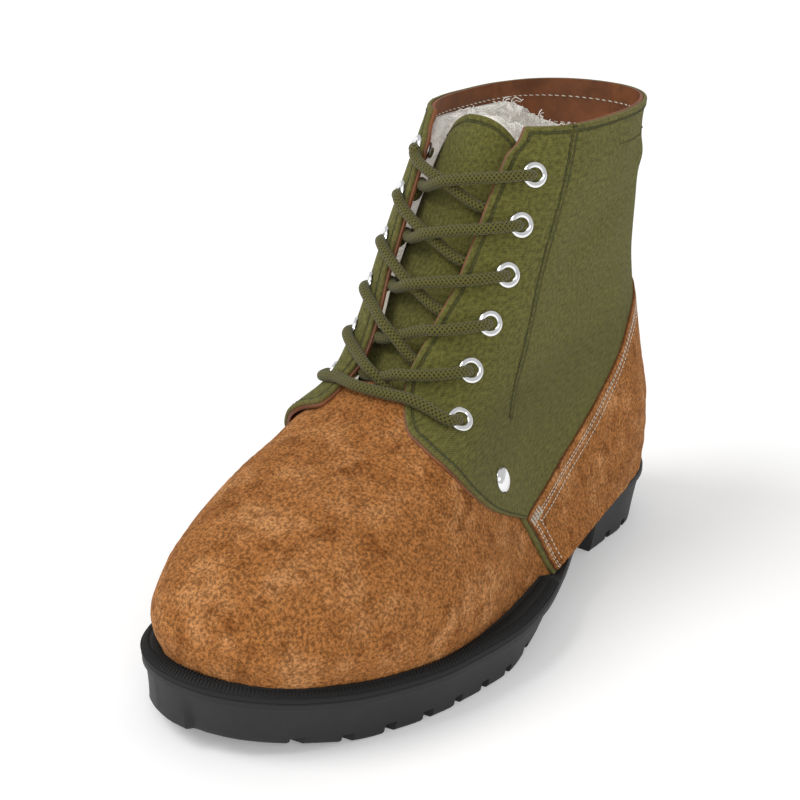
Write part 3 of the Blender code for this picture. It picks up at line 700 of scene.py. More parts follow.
def nap_nodes(tree: Tree, given: Any) -> dict:
    """Brushed nap: soft light and dark patches under a fine grain."""
    place = given["Position"]
    cloud = tree.noise(place, given["Patch"], 3.0, 0.55)
    colour = tree.mix(tree.band(cloud, 0.44, 0.72), given["Base"], given["Light"])
    shade = tree.noise(place, tree.math("MULTIPLY", given["Patch"], 1.9), 3.0, 0.6)
    colour = tree.mix(tree.band(shade, 0.47, 0.75), colour, given["Dark"])
    grain = tree.noise(place, given["Grain"], 3.0, 0.75)
    speck = tree.band(grain, 0.36, 0.66)
    value = tree.math("ADD", tree.math("MULTIPLY", speck, 0.95), 0.5)
    tone = tree.add("ShaderNodeCombineColor", {0: value, 1: value, 2: value}).outputs[0]
    colour = tree.mix(1.0, colour, tone, "MULTIPLY")
    strokes = tree.noise(place, tree.math("MULTIPLY", given["Grain"], 0.28), 4.0, 0.7)
    height = tree.math("ADD", tree.math("MULTIPLY", grain, 0.6), tree.math("MULTIPLY", strokes, 0.7))
    return {"Colour": colour, "Height": height}


def weave_nodes(tree: Tree, given: Any) -> dict:
    """Plain weave: crossing threads with uneven tone, and painted shade that darkens the colour between raised
    threads.
    """
    split = tree.add("ShaderNodeSeparateXYZ", {0: given["Position"]})
    turns = tree.math("DIVIDE", pi, given["Pitch"])
    x = tree.math("MULTIPLY", split.outputs[0], turns)
    y = tree.math("MULTIPLY", split.outputs[1], turns)
    over = tree.math("MULTIPLY", tree.math("COSINE", x), tree.math("COSINE", y))
    pick = tree.math("ADD", tree.math("MULTIPLY", over, 0.5), 0.5, True)
    warp = tree.math("ABSOLUTE", tree.math("SINE", x))
    weft = tree.math("ABSOLUTE", tree.math("SINE", y))
    rest = tree.math("SUBTRACT", 1.0, pick)
    height = tree.math("ADD", tree.math("MULTIPLY", warp, pick), tree.math("MULTIPLY", weft, rest))
    slub = tree.noise(given["Position"], given["Slub"], 4.0, 0.65)
    colour = tree.mix(pick, given["Weft"], given["Warp"])
    uneven = tree.math("MULTIPLY", tree.band(slub, 0.3, 0.7), 0.75)
    # Painted shade: the colour is lightened where a thread stands high and darkened between threads.
    raised = tree.math("MULTIPLY", height, 0.6)
    value = tree.math("ADD", tree.math("ADD", uneven, raised), 0.26)
    tone = tree.add("ShaderNodeCombineColor", {0: value, 1: value, 2: value}).outputs[0]
    return {"Colour": tree.mix(1.0, colour, tone, "MULTIPLY"),
            "Height": tree.math("ADD", height, tree.math("MULTIPLY", slub, 0.8))}


def furrow_nodes(tree: Tree, given: Any) -> dict:
    """Line pulled in by a row of stitches at a place on a distance."""
    away = tree.math("ABSOLUTE", tree.math("SUBTRACT", given["Distance"], given["Place"]))
    share = tree.math("DIVIDE", away, given["Width"])
    mask = tree.math("SUBTRACT", 1.0, tree.band(share, 0.0, 1.0))
    return {"Mask": mask}


NAP = shader_group("nap", {
    "Position": (VECTOR, None), "Base": (COLOUR, (0.4, 0.2, 0.1, 1)), "Light": (COLOUR, (0.6, 0.4, 0.2, 1)),
    "Dark": (COLOUR, (0.2, 0.1, 0.05, 1)), "Patch": (FLOAT, 60.0), "Grain": (FLOAT, 900.0),
}, {"Colour": COLOUR, "Height": FLOAT}, nap_nodes)
WEAVE = shader_group("weave", {
    "Position": (VECTOR, None), "Warp": (COLOUR, (0.1, 0.1, 0.05, 1)), "Weft": (COLOUR, (0.1, 0.1, 0.05, 1)),
    "Pitch": (FLOAT, 0.6), "Slub": (FLOAT, 0.9),
}, {"Colour": COLOUR, "Height": FLOAT}, weave_nodes)
FURROW = shader_group("furrow", {
    "Distance": (FLOAT, 0.0), "Place": (FLOAT, 3.0), "Width": (FLOAT, 1.0),
}, {"Mask": FLOAT}, furrow_nodes)


@dataclass(frozen=True)
class Finish:
    """A material: its name, its even values and the nodes that vary it."""

    name: str
    colour: tuple
    roughness: float = 0.8

    def material(self) -> bpy.types.Material:
        """Make the material, or give the one already made."""
        found = bpy.data.materials.get(self.name)
        if found:
            return found
        made = bpy.data.materials.new(self.name)
        made.use_nodes = True
        shader = made.node_tree.nodes["Principled BSDF"]
        shader.inputs["Base Color"].default_value = (*self.colour, 1.0)
        shader.inputs["Roughness"].default_value = self.roughness
        self.dress(Tree(made.node_tree), shader)
        return made

    def dress(self, tree: Tree, shader: bpy.types.Node) -> None:
        """Add what varies over the surface."""

    def relief(self, tree: Tree, shader: bpy.types.Node, height: Any, depth: float,
               normal: Any = None) -> Any:
        """Feed a height to the shader as a bump of a depth in metres, and give its normal."""
        values = {"Height": height, "Distance": depth}
        if normal is not None:
            values["Normal"] = normal
        bump = tree.add("ShaderNodeBump", values)
        tree.tree.links.new(bump.outputs[0], shader.inputs["Normal"])
        return bump.outputs[0]


@dataclass(frozen=True)
class Suede(Finish):
    """Split leather with a mottled nap."""

    light: tuple = (0.5, 0.23, 0.085)
    dark: tuple = (0.22, 0.075, 0.017)
    patch: float = 62.0
    grain: float = 820.0

    def dress(self, tree: Tree, shader: bpy.types.Node) -> None:
        """Nap over the whole piece, darker next to its seams."""
        place = tree.add("ShaderNodeTexCoord").outputs["Object"]
        nap = tree.add("ShaderNodeGroup", {
            "Position": place, "Base": (*self.colour, 1), "Light": (*self.light, 1), "Dark": (*self.dark, 1),
            "Patch": self.patch, "Grain": self.grain}, node_tree=NAP)
        edge = tree.add("ShaderNodeAttribute", attribute_name="edge").outputs["Fac"]
        cut = tree.math("SUBTRACT", 1.0, tree.band(edge, 0.25, 0.9))
        colour = tree.mix(tree.math("MULTIPLY", cut, 0.75), nap.outputs["Colour"], (0.11, 0.04, 0.018, 1))
        tree.tree.links.new(colour, shader.inputs["Base Color"])
        shader.inputs["Specular IOR Level"].default_value = 0.12
        shader.inputs["Sheen Weight"].default_value = 0.06
        shader.inputs["Sheen Roughness"].default_value = 0.5
        shader.inputs["Sheen Tint"].default_value = (0.95, 0.62, 0.35, 1)
        self.relief(tree, shader, nap.outputs["Height"], 0.0009)


@dataclass(frozen=True)
class Canvas(Finish):
    """Woven cotton with furrows along its stitched edges."""

    weft: tuple = (0.15, 0.142, 0.036)
    pitch: float = 0.6
    furrows: tuple = (3.0,)
    seams: tuple = (0.0, 2.2)

    def dress(self, tree: Tree, shader: bpy.types.Node) -> None:
        """Weave on the piece's own map, pulled in at the stitch rows, with painted shade in those furrows."""
        uv = tree.add("ShaderNodeUVMap", uv_map="surface").outputs[0]
        place = tree.add("ShaderNodeVectorMath", {0: uv, 3: 100.0}, operation="SCALE").outputs[0]
        weave = tree.add("ShaderNodeGroup", {
            "Position": place, "Warp": (*self.colour, 1), "Weft": (*self.weft, 1), "Pitch": self.pitch,
            "Slub": 0.55}, node_tree=WEAVE)
        cloud = tree.noise(tree.add("ShaderNodeTexCoord").outputs["Object"], 38.0, 3.0, 0.6)
        plain = weave.outputs["Colour"]
        worn = tree.mix(tree.band(cloud, 0.35, 0.75), plain, (0.72, 0.74, 0.62, 1), "SOFT_LIGHT")
        colour = tree.mix(tree.math("MULTIPLY", tree.band(cloud, 0.3, 0.8), 0.25), plain, worn)
        masks = [self.furrow(tree, "edge", place_at, 1.1) for place_at in self.furrows]
        masks += [self.furrow(tree, "seam", place_at, 1.0) for place_at in self.seams]
        pulled = masks[0]
        for mask in masks[1:]:
            pulled = tree.math("MAXIMUM", pulled, mask)
        edge = tree.add("ShaderNodeAttribute", attribute_name="edge").outputs["Fac"]
        rim = tree.math("SUBTRACT", 1.0, tree.band(edge, 0.2, 0.9))
        # Painted shade: the colour darkens along the stitch furrows that the relief below sinks.
        colour = tree.mix(tree.math("MULTIPLY", pulled, 0.5), colour, (0.035, 0.036, 0.012, 1))
        colour = tree.mix(tree.math("MULTIPLY", rim, 0.45), colour, (0.2, 0.16, 0.06, 1))
        tree.tree.links.new(colour, shader.inputs["Base Color"])
        shader.inputs["Specular IOR Level"].default_value = 0.15
        shader.inputs["Sheen Weight"].default_value = 0.06
        shader.inputs["Sheen Roughness"].default_value = 0.5
        first = self.relief(tree, shader, weave.outputs["Height"], 0.00022)
        pucker = tree.noise(place, 0.45, 2.0, 0.5)
        deep = tree.math("MULTIPLY", tree.math("MULTIPLY", pulled, -1.0), tree.math("ADD", pucker, 0.5))
        self.relief(tree, shader, deep, 0.0007, first)

    def furrow(self, tree: Tree, attribute: str, place: float, width: float) -> Any:
        """Mask of a stitched line at a distance given by an attribute."""
        away = tree.add("ShaderNodeAttribute", attribute_name=attribute).outputs["Fac"]
        return tree.add("ShaderNodeGroup", {"Distance": away, "Place": place, "Width": width},
                        node_tree=FURROW).outputs["Mask"]


@dataclass(frozen=True)
class Leather(Finish):
    """Smooth lining leather with a fine pebble grain."""

    def dress(self, tree: Tree, shader: bpy.types.Node) -> None:
        """Grain and slightly uneven tone."""
        place = tree.add("ShaderNodeTexCoord").outputs["Object"]
        cells = tree.add("ShaderNodeTexVoronoi", {"Vector": place, "Scale": 900.0},
                         feature="DISTANCE_TO_EDGE")
        cloud = tree.noise(place, 90.0, 4.0, 0.6)
        deep = tuple(c * 0.55 for c in self.colour)
        tree.tree.links.new(tree.mix(tree.band(cloud, 0.3, 0.75), (*deep, 1), (*self.colour, 1)),
                            shader.inputs["Base Color"])
        tree.tree.links.new(tree.math("ADD", tree.math("MULTIPLY", cloud, 0.3), self.roughness - 0.15),
                            shader.inputs["Roughness"])
        grain = tree.math("MINIMUM", cells.outputs["Distance"], 0.25)
        self.relief(tree, shader, tree.math("ADD", grain, cloud), 0.0002)


@dataclass(frozen=True)
class Fleece(Finish):
    """Curly ivory pile."""

    def dress(self, tree: Tree, shader: bpy.types.Node) -> None:
        """Lumps of pile, with painted shade between them and a faint painted glow."""
        place = tree.add("ShaderNodeTexCoord").outputs["Object"]
        lumps = tree.noise(place, 260.0, 5.0, 0.7)
        # Painted shade: the colour darkens in the hollows between lumps.
        hollow_shade = tuple(c * 0.72 for c in self.colour)
        tree.tree.links.new(tree.mix(tree.band(lumps, 0.3, 0.55), (*hollow_shade, 1), (*self.colour, 1)),
                            shader.inputs["Base Color"])
        shader.inputs["Sheen Weight"].default_value = 0.4
        shader.inputs["Specular IOR Level"].default_value = 0.1
        # Painted light: a faint white emission makes the pile glow brighter than the lamps light it.
        shader.inputs["Emission Color"].default_value = (1.0, 0.96, 0.9, 1)
        shader.inputs["Emission Strength"].default_value = 0.16
        self.relief(tree, shader, lumps, 0.0025)


@dataclass(frozen=True)
class Plated(Finish):
    """Bright plated metal with fine handling marks."""

    def dress(self, tree: Tree, shader: bpy.types.Node) -> None:
        """Uneven gloss and a faint orange peel."""
        shader.inputs["Metallic"].default_value = 1.0
        place = tree.add("ShaderNodeTexCoord").outputs["Object"]
        marks = tree.noise(place, 700.0, 5.0, 0.7)
        dull = tree.math("MULTIPLY", tree.band(marks, 0.4, 0.8), 0.2)
        tree.tree.links.new(tree.math("ADD", dull, self.roughness), shader.inputs["Roughness"])
        self.relief(tree, shader, tree.noise(place, 320.0, 2.0), 0.00006)


@dataclass(frozen=True)
class Rubber(Finish):
    """Moulded rubber with a dull skin."""

    depth: float = 0.00018
    spread: float = 0.22

    def dress(self, tree: Tree, shader: bpy.types.Node) -> None:
        """Fine moulded texture, smears and dust."""
        place = tree.add("ShaderNodeTexCoord").outputs["Object"]
        smear = tree.noise(place, 45.0, 5.0, 0.65)
        speck = tree.noise(place, 1500.0, 3.0, 0.7)
        pale = tuple(min(1.0, c * 2.4 + 0.004) for c in self.colour)
        tree.tree.links.new(tree.mix(tree.math("MULTIPLY", tree.band(smear, 0.42, 0.8), 0.6),
                                     (*self.colour, 1), (*pale, 1)), shader.inputs["Base Color"])
        tree.tree.links.new(tree.math("ADD", tree.math("MULTIPLY", smear, self.spread), self.roughness - 0.1),
                            shader.inputs["Roughness"])
        both = tree.math("ADD", speck, tree.math("MULTIPLY", smear, 0.8))
        self.relief(tree, shader, both, self.depth)


@dataclass(frozen=True)
class Braid(Finish):
    """Round braided cord: strands cross on its own map."""

    strands: float = 6.0
    pitch: float = 5.2

    def dress(self, tree: Tree, shader: bpy.types.Node) -> None:
        """Crossing strands in height, with painted shade between strands and painted light on their crowns."""
        uv = tree.add("ShaderNodeUVMap", uv_map="surface").outputs[0]
        split = tree.add("ShaderNodeSeparateXYZ", {0: uv})
        turn = tree.math("MULTIPLY", split.outputs[0], tau * self.strands)
        run = tree.math("MULTIPLY", split.outputs[1], 100.0 * tau * self.strands / (2 * self.pitch))
        left, right = (
            tree.math("ABSOLUTE", tree.math("SINE", tree.math("MULTIPLY", tree.math(way, turn, run), 0.5)))
            for way in ("ADD", "SUBTRACT"))
        height = tree.math("MAXIMUM", left, tree.math("MULTIPLY", right, 0.96))
        place = tree.add("ShaderNodeTexCoord").outputs["Object"]
        fibre = tree.noise(place, 2200.0, 3.0, 0.7)
        tone = tree.math("ADD", tree.math("MULTIPLY", height, 0.9), tree.math("MULTIPLY", fibre, 0.5))
        # Painted shade and light: grooves between strands darken, strand crowns lighten.
        dark = tuple(c * 0.25 for c in self.colour)
        pale = tuple(c * 1.55 for c in self.colour)
        colour = tree.mix(tree.band(tone, 0.55, 1.25), (*dark, 1), (*pale, 1))
        tree.tree.links.new(colour, shader.inputs["Base Color"])
        shader.inputs["Sheen Weight"].default_value = 0.15
        shader.inputs["Specular IOR Level"].default_value = 0.2
        self.relief(tree, shader, tone, 0.0004)


@dataclass(frozen=True)
class Thread(Finish):
    """Twisted sewing thread."""

    def dress(self, tree: Tree, shader: bpy.types.Node) -> None:
        """Fibres that catch the light unevenly."""
        place = tree.add("ShaderNodeTexCoord").outputs["Object"]
        fibre = tree.noise(place, 1800.0, 3.0, 0.7)
        dark = tuple(c * 0.6 for c in self.colour)
        tree.tree.links.new(tree.mix(tree.band(fibre, 0.35, 0.6), (*dark, 1), (*self.colour, 1)),
                            shader.inputs["Base Color"])
        self.relief(tree, shader, fibre, 0.0002)


SUEDE = Suede("suede_nap", (0.36, 0.142, 0.04), 0.95)
CANVAS = Canvas("olive_canvas", (0.12, 0.115, 0.026), 0.9)
FACING = Leather("facing_leather", (0.25, 0.08, 0.022), 0.55)
FLEECE = Fleece("ivory_pile", (0.93, 0.9, 0.83), 1.0)
PLATED = Plated("plated", (0.86, 0.86, 0.87), 0.14)
RUBBER = Rubber("sole_rubber", (0.0065, 0.0068, 0.007), 0.6)
WELT_RUBBER = Rubber("welt_rubber", (0.004, 0.004, 0.004), 0.26, 0.00005, 0.12)
LACE = Braid("lace_cotton", (0.082, 0.075, 0.017), 0.85)
OLIVE_THREAD = Thread("olive_thread", (0.1, 0.105, 0.035), 0.8)
PALE_THREAD = Thread("pale_thread", (0.82, 0.76, 0.64), 0.7)


@dataclass
class BeadTree:
    """Geometry nodes that set a small bead at even steps along lines that lie on the boot.

    The lines' points carry two attributes: aim, the bead's long axis, and out, away from the surface.
    """

    name: str
    segments: int = 6
    rings: int = 4

    def tree(self) -> bpy.types.NodeTree:
        """Build the node tree with its named inputs."""
        tree = bpy.data.node_groups.new(self.name, "GeometryNodeTree")
        face = tree.interface
        face.new_socket(name="Lines", in_out="INPUT", socket_type="NodeSocketGeometry")
        for key, kind in (("Pitch", FLOAT), ("Size", VECTOR), ("Finish", "NodeSocketMaterial")):
            face.new_socket(name=key, in_out="INPUT", socket_type=kind)
        face.new_socket(name="Beads", in_out="OUTPUT", socket_type="NodeSocketGeometry")
        graph = Tree(tree)
        given = graph.add("NodeGroupInput").outputs
        curve = graph.add("GeometryNodeMeshToCurve", {"Mesh": given["Lines"]})
        even = graph.add("GeometryNodeResampleCurve", {"Curve": curve.outputs[0], "Length": given["Pitch"]},
                         mode="LENGTH")
        aim = graph.add("GeometryNodeInputNamedAttribute", {"Name": "aim"}, data_type="FLOAT_VECTOR")
        out = graph.add("GeometryNodeInputNamedAttribute", {"Name": "out"}, data_type="FLOAT_VECTOR")
        turn = graph.add("FunctionNodeAlignRotationToVector", {"Vector": aim.outputs[0]}, axis="X")
        turn = graph.add("FunctionNodeAlignRotationToVector",
                         {"Rotation": turn.outputs[0], "Vector": out.outputs[0]}, axis="Z", pivot_axis="X")
        bead = graph.add("GeometryNodeMeshUVSphere",
                         {"Segments": self.segments, "Rings": self.rings, "Radius": 0.5})
        tilted = graph.add("GeometryNodeTransform", {"Geometry": bead.outputs[0], "Rotation": (0, pi / 2, 0)})
        sized = graph.add("GeometryNodeTransform", {"Geometry": tilted.outputs[0], "Scale": given["Size"]})
        beads = graph.add("GeometryNodeInstanceOnPoints", {
            "Points": even.outputs[0], "Instance": sized.outputs[0], "Rotation": turn.outputs[0]})
        real = graph.add("GeometryNodeRealizeInstances", {"Geometry": beads.outputs[0]})
        smooth = graph.add("GeometryNodeSetShadeSmooth", {"Geometry": real.outputs[0]})
        done = graph.add("GeometryNodeSetMaterial",
                         {"Geometry": smooth.outputs[0], "Material": given["Finish"]})
        graph.add("NodeGroupOutput", {"Beads": done.outputs[0]})
        return tree


def apply_tree(piece: bpy.types.Object, tree: bpy.types.NodeTree, values: dict) -> bpy.types.Object:
    """Run geometry nodes on a piece and keep their result as its mesh.

    Args:
        piece: object whose mesh is the tree's input.
        tree: the node tree.
        values: value of each named input.

    Returns:
        The piece as a plain mesh.
    """
    modifier = piece.modifiers.new(tree.name, "NODES")
    modifier.node_group = tree
    for item in tree.interface.items_tree:
        if item.item_type == "SOCKET" and item.in_out == "INPUT" and item.name in values:
            modifier[item.identifier] = values[item.name]
    return flat_copy(piece)


@dataclass
class Row:
    """A row of stitches or ribs: points on the boot, the way each bead aims and the way out."""

    points: np.ndarray
    aim: np.ndarray
    out: np.ndarray

    @classmethod
    def on_last(cls, line: np.ndarray, offset: Any, twist: float = 0.12) -> "Row":
        """Stitch row along levels and shares, its stitches slightly askew."""
        fine = np.linspace(0, 1, max(2, 4 * len(line)))
        run = lengths(LAST.at(line[:, 0], line[:, 1]))
        line = np.column_stack([np.interp(fine * run[-1], run, line[:, k]) for k in range(2)])
        points = LAST.at(line[:, 0], line[:, 1], offset)
        out = LAST.normal(line[:, 0], line[:, 1])
        along = np.gradient(points, axis=0)
        along /= np.linalg.norm(along, axis=1, keepdims=True) + 1e-9
        return cls(points, along + twist * np.cross(out, along), out)


def bead_piece(name: str, rows: Sequence[Row], tree: bpy.types.NodeTree, finish: bpy.types.Material,
               pitch: float, size: tuple) -> bpy.types.Object:
    """Make rows of beads one piece.

    Args:
        name: name of the piece.
        rows: the rows.
        tree: the bead tree.
        finish: its material.
        pitch: step along a row in millimetres.
        size: length, width and height of a bead in millimetres.

    Returns:
        The piece as a plain mesh.
    """
    mesh = bpy.data.meshes.new(name)
    points = np.concatenate([row.points for row in rows])
    edges, start = [], 0
    for row in rows:
        edges += [(start + k, start + k + 1) for k in range(len(row.points) - 1)]
        start += len(row.points)
    mesh.from_pydata(((points + SHIFT) * MM).tolist(), edges, [])
    for key in ("aim", "out"):
        attribute = mesh.attributes.new(key, "FLOAT_VECTOR", "POINT")
        vectors = np.concatenate([getattr(row, key) for row in rows])
        attribute.data.foreach_set("vector", vectors.astype(np.float32).ravel())
    piece = bpy.data.objects.new(name, mesh)
    bpy.context.scene.collection.objects.link(piece)
    values = {"Pitch": pitch * MM, "Size": tuple(s * MM for s in size), "Finish": finish}
    return apply_tree(piece, tree, values)


@dataclass
class Upper:
    """Vamp, canvas quarters with their facing, suede counter, and the stitching on them."""

    flap: tuple = ((4, 50), (-22, 64.3), (-37.2, 77.7), (-43, 87.8), (-43.8, 93.5), (-41, 98), (-32.6, 106.5),
                   (-25.6, 114.2), (-13.2, 128.9), (-2, 144.5), (10.2, 163.7), (21.3, 182.6), (25.0, 188.6),
                   (27.6, 192.7), (31.5, 196.8))
    collar_across: float = 25.6
    counter_top: tuple = ((4, 50), (20, 53), (44, 63), (70, 75.5), (92, 90.5), (110, 106), (134, 117),
                          (160, 121))
    counter_front: tuple = ((18, 10), (16, 24), (10.5, 39), (4, 50))
    eyestay: tuple = ((4.4, 93.5), (12.1, 109.4), (20.2, 125.8), (26.4, 143.2), (34.2, 159.7), (44.4, 180.6),
                      (51.7, 200))
    canvas: tuple = (0.5, 1.7)
    suede: tuple = (0.5, 2.7)
    flap_row: float = 3.0
    collar_rows: tuple = (3.0, 15.0)
    counter_rows: tuple = (4.2, 5.6, 8.6)
    beads: bpy.types.NodeTree = field(init=False)
    patches: dict = field(init=False)
    halves: list = field(init=False)

    def __post_init__(self) -> None:
        """Make the stitch tree and the flap patches."""
        self.beads = BeadTree("stitches").tree()
        self.patches = {side: self.quarter_patch(side) for side in Side}

    def flap_edge(self, side: Side) -> np.ndarray:
        """Levels and shares of a flap's edge, from the counter's corner up to the collar."""
        low = [mark for mark in self.flap if mark[1] < 100]
        high = [mark for mark in self.flap if mark[1] >= 100]
        edge = [LAST.find(*mark, side) for mark in low]
        for mark in high:
            level, share = LAST.find(*mark, Side.LATERAL)
            across = share * LAST.arc(level, Side.LATERAL)
            edge.append((level, float(LAST.across(level, side.value * across))))
        edge.append((1.0, float(LAST.across(1.0, side.value * self.collar_across))))
        edge = np.array(edge)
        flat = np.column_stack([LAST.at(edge[:, 0], edge[:, 1]), edge])
        run = lengths(flat[:, :3])
        fine = np.linspace(0, run[-1], 300)
        return np.column_stack([spline(run, edge[:, k], fine) for k in range(2)])

    def quarter_patch(self, side: Side) -> Patch:
        """Patch of a quarter: flap edge, back seam, line under the counter, collar."""
        front = self.flap_edge(side)
        seam = side.value * (1 - 0.0004)
        low = [(y, z - 7.0 * min(1.0, max(0.0, y - 4) / 20)) for y, z in self.counter_top]
        bottom = LAST.trace(low, 120, side)
        bottom[:, 1] = np.clip(bottom[:, 1] * side.value, 0, 1 - 0.0004) * side.value
        bottom[0] = front[0]
        bottom[-1, 1] = seam
        share = np.linspace(0, 1, 200)
        top = np.column_stack([np.ones(200), front[-1, 1] + (seam - front[-1, 1]) * share])
        back = np.column_stack([bottom[-1, 0] + (1 - bottom[-1, 0]) * share, np.full(200, seam)])
        across = np.concatenate([(0, 0.0015, 0.003, 0.006, 0.010), np.linspace(0.016, 1, 165)])
        up = np.concatenate([np.linspace(0, 0.985, 135), (0.989, 0.993, 0.996, 0.998, 1.0)])
        return Patch.between(front, back, bottom, top, across, up)

    def seam_distance(self, patch: Patch, side: Side) -> np.ndarray:
        """Signed distance of each point from the eyestay seam."""
        line = LAST.trace(self.eyestay, 60, side)
        marks = LAST.at(line[:, 0], line[:, 1])
        points = patch.points()
        away = np.linalg.norm(points[:, :, None] - marks[None, None], axis=-1).min(-1)
        behind = np.sign(points[..., 1] - np.interp(points[..., 2], marks[:, 2], marks[:, 1]))
        return np.where(points[..., 2] > marks[0, 2] - 3, away * behind, NO_SEAM)

    def lift(self, patch: Patch, side: Side) -> np.ndarray:
        """How far the loose corner of a flap stands off the vamp."""
        points = patch.points()
        corner = np.array(LAST.at(*LAST.find(-42, 92, side)))
        away = np.linalg.norm(points - corner, axis=-1)
        return (2.6 if side is Side.MEDIAL else 1.0) * np.exp(-(away / 17.0) ** 2)

    def quarters(self) -> None:
        """Canvas quarters, with the leather that faces them inside."""
        for side, patch in self.patches.items():
            word = side.name.lower()
            seam = self.seam_distance(patch, side)
            edge = np.minimum(patch.from_front(), patch.from_top())
            lift = self.lift(patch, side)
            ridge = 0.35 * np.exp(-((seam - 1.1) / 1.6) ** 2) + 0.3 * np.exp(-((edge - 1.2) / 1.3) ** 2)
            outer = self.canvas[1] + lift + ridge
            canvas = patch.piece(f"quarter_{word}", CANVAS.material(), outer, self.canvas[0] + lift, 0.7,
                                 {"edge": edge, "seam": seam})
            carve(canvas, [self.hole_cutter(side)])
            place_piece(canvas, "canvas", f"quarter_{word}")
            wider = Patch(patch.net.copy())
            front = wider.net[:, 0].copy()
            step = 0.7 / np.maximum(patch.from_front()[:, 12], 1.0)
            wider.net[:, 0] = front - (patch.net[:, 12] - front) * step[:, None]
            facing = wider.piece(f"facing_{word}", FACING.material(), self.canvas[0] + lift - 0.05,
                                 -1.1 + lift, 0.9)
            carve(facing, [self.hole_cutter(side)])
            place_piece(facing, "facing")

    def hole_cutter(self, side: Side) -> bpy.types.Object:
        """Closed shapes of the holes under the eyelets."""
        points, faces = [], []
        turns = np.arange(16) * tau / 16
        for row, (level, share) in enumerate(eyelet_places(side)):
            here, along, across, out = axes_at(level, share)
            spokes = 3.75 * (np.outer(np.cos(turns), along) + np.outer(np.sin(turns), across))
            rings = np.array([here + spokes - out * 6, here + spokes + out * 6])
            start = 32 * row
            points.append(rings.reshape(-1, 3))
            faces.append(tuple(start + k for k in range(16)))
            faces.append(tuple(start + 31 - k for k in range(16)))
            for k in range(16):
                n = (k + 1) % 16
                faces.append((start + k, start + 16 + k, start + 16 + n, start + n))
        return make_mesh(f"holes_{side.name.lower()}", np.concatenate(points), faces, CANVAS.material())

    def vamp(self) -> None:
        """Suede vamp, from the welt to under the flaps."""
        share = np.linspace(-0.62, 0.62, 330)
        up = np.concatenate([np.linspace(0, 0.975, 120), (0.984, 0.991, 0.996, 1.0)])
        highest = np.interp(np.abs(share), (0, 0.10, 0.25, 0.62), (0.715, 0.70, 0.66, 0.30))
        level = up[:, None] * highest[None]
        net = np.stack([level, np.broadcast_to(share, level.shape)], -1)
        patch = Patch(net)
        nap = 0.12 * bump_noise(patch.points(), 3.0, 4)
        piece = patch.piece("vamp", SUEDE.material(), 0.1 + nap, -1.6, 0.0, {"edge": patch.from_top()})
        place_piece(piece, "suede", "upper")

    def counter(self) -> None:
        """Suede counter round the heel, with its raised edge."""
        halves = []
        for side in Side:
            top = LAST.trace(self.counter_top, 160, side)
            top[:, 1] = np.clip(top[:, 1] * side.value, 0, 1) * side.value
            top[-1, 1] = side.value
            front = LAST.trace([(18, 22)] + [m for m in self.counter_front if m[1] > 22], 60, side)
            front[0, 0] = 0.0
            front[-1] = top[0]
            share = np.linspace(0, 1, 160)
            bottom = np.column_stack([np.full(160, 0.004), front[0, 1] + (side.value - front[0, 1]) * share])
            back = np.column_stack([0.004 + (top[-1, 0] - 0.004) * share, np.full(160, side.value)])
            across = np.concatenate([(0, 0.002, 0.004, 0.008), np.linspace(0.014, 1, 130)])
            up = np.concatenate([np.linspace(0, 0.96, 60), (0.97, 0.98, 0.987, 0.993, 0.997, 1.0)])
            halves.append(Patch.between(front, back, bottom, top, across, up))
        self.halves = halves
        edges = [np.minimum(half.from_front(), half.from_top()) for half in halves]
        net = np.concatenate([halves[0].net, halves[1].net[:, -2::-1]], axis=1)
        edge = np.concatenate([edges[0], edges[1][:, -2::-1]], axis=1)
        patch = Patch(net)
        ease = np.sqrt(1 - (1 - np.clip(edge / 1.0, 0, 1)) ** 2)
        furrow = sum(np.exp(-((edge - row) / 0.9) ** 2) for row in (4.9, 8.6))
        outer = self.suede[0] + (self.suede[1] - self.suede[0]) * (0.3 + 0.7 * ease) - 0.25 * furrow
        outer = outer + 0.12 * bump_noise(patch.points(), 3.0, 8)
        piece = patch.piece("heel_counter", SUEDE.material(), outer, self.suede[0], 0.0, {"edge": edge})
        place_piece(piece, "suede", "heel_counter")

    def canvas_foot(self) -> None:
        """Strip of canvas that shows between the vamp and the counter, down to the sole."""
        for side in Side:
            front = LAST.trace([(15.2, 22), (13.0, 26), (7.5, 39.5), (1.5, 51)], 60, side)
            back = LAST.trace([(26, 22), (24, 26), (20, 39), (14, 50)], 60, side)
            front[0, 0] = back[0, 0] = 0.0
            share = np.linspace(0, 1, 30)[:, None]
            bottom, top = front[0] + (back[0] - front[0]) * share, front[-1] + (back[-1] - front[-1]) * share
            across = np.concatenate([(0, 0.01, 0.03), np.linspace(0.07, 1, 12)])
            patch = Patch.between(front, back, bottom, top, across, np.linspace(0, 1, 60))
            away = patch.from_front()
            piece = patch.piece(f"quarter_foot_{side.name.lower()}", CANVAS.material(), 1.6, 0.25, 0.7,
                                {"edge": away, "seam": np.full(away.shape, NO_SEAM)})
            place_piece(piece, "canvas")

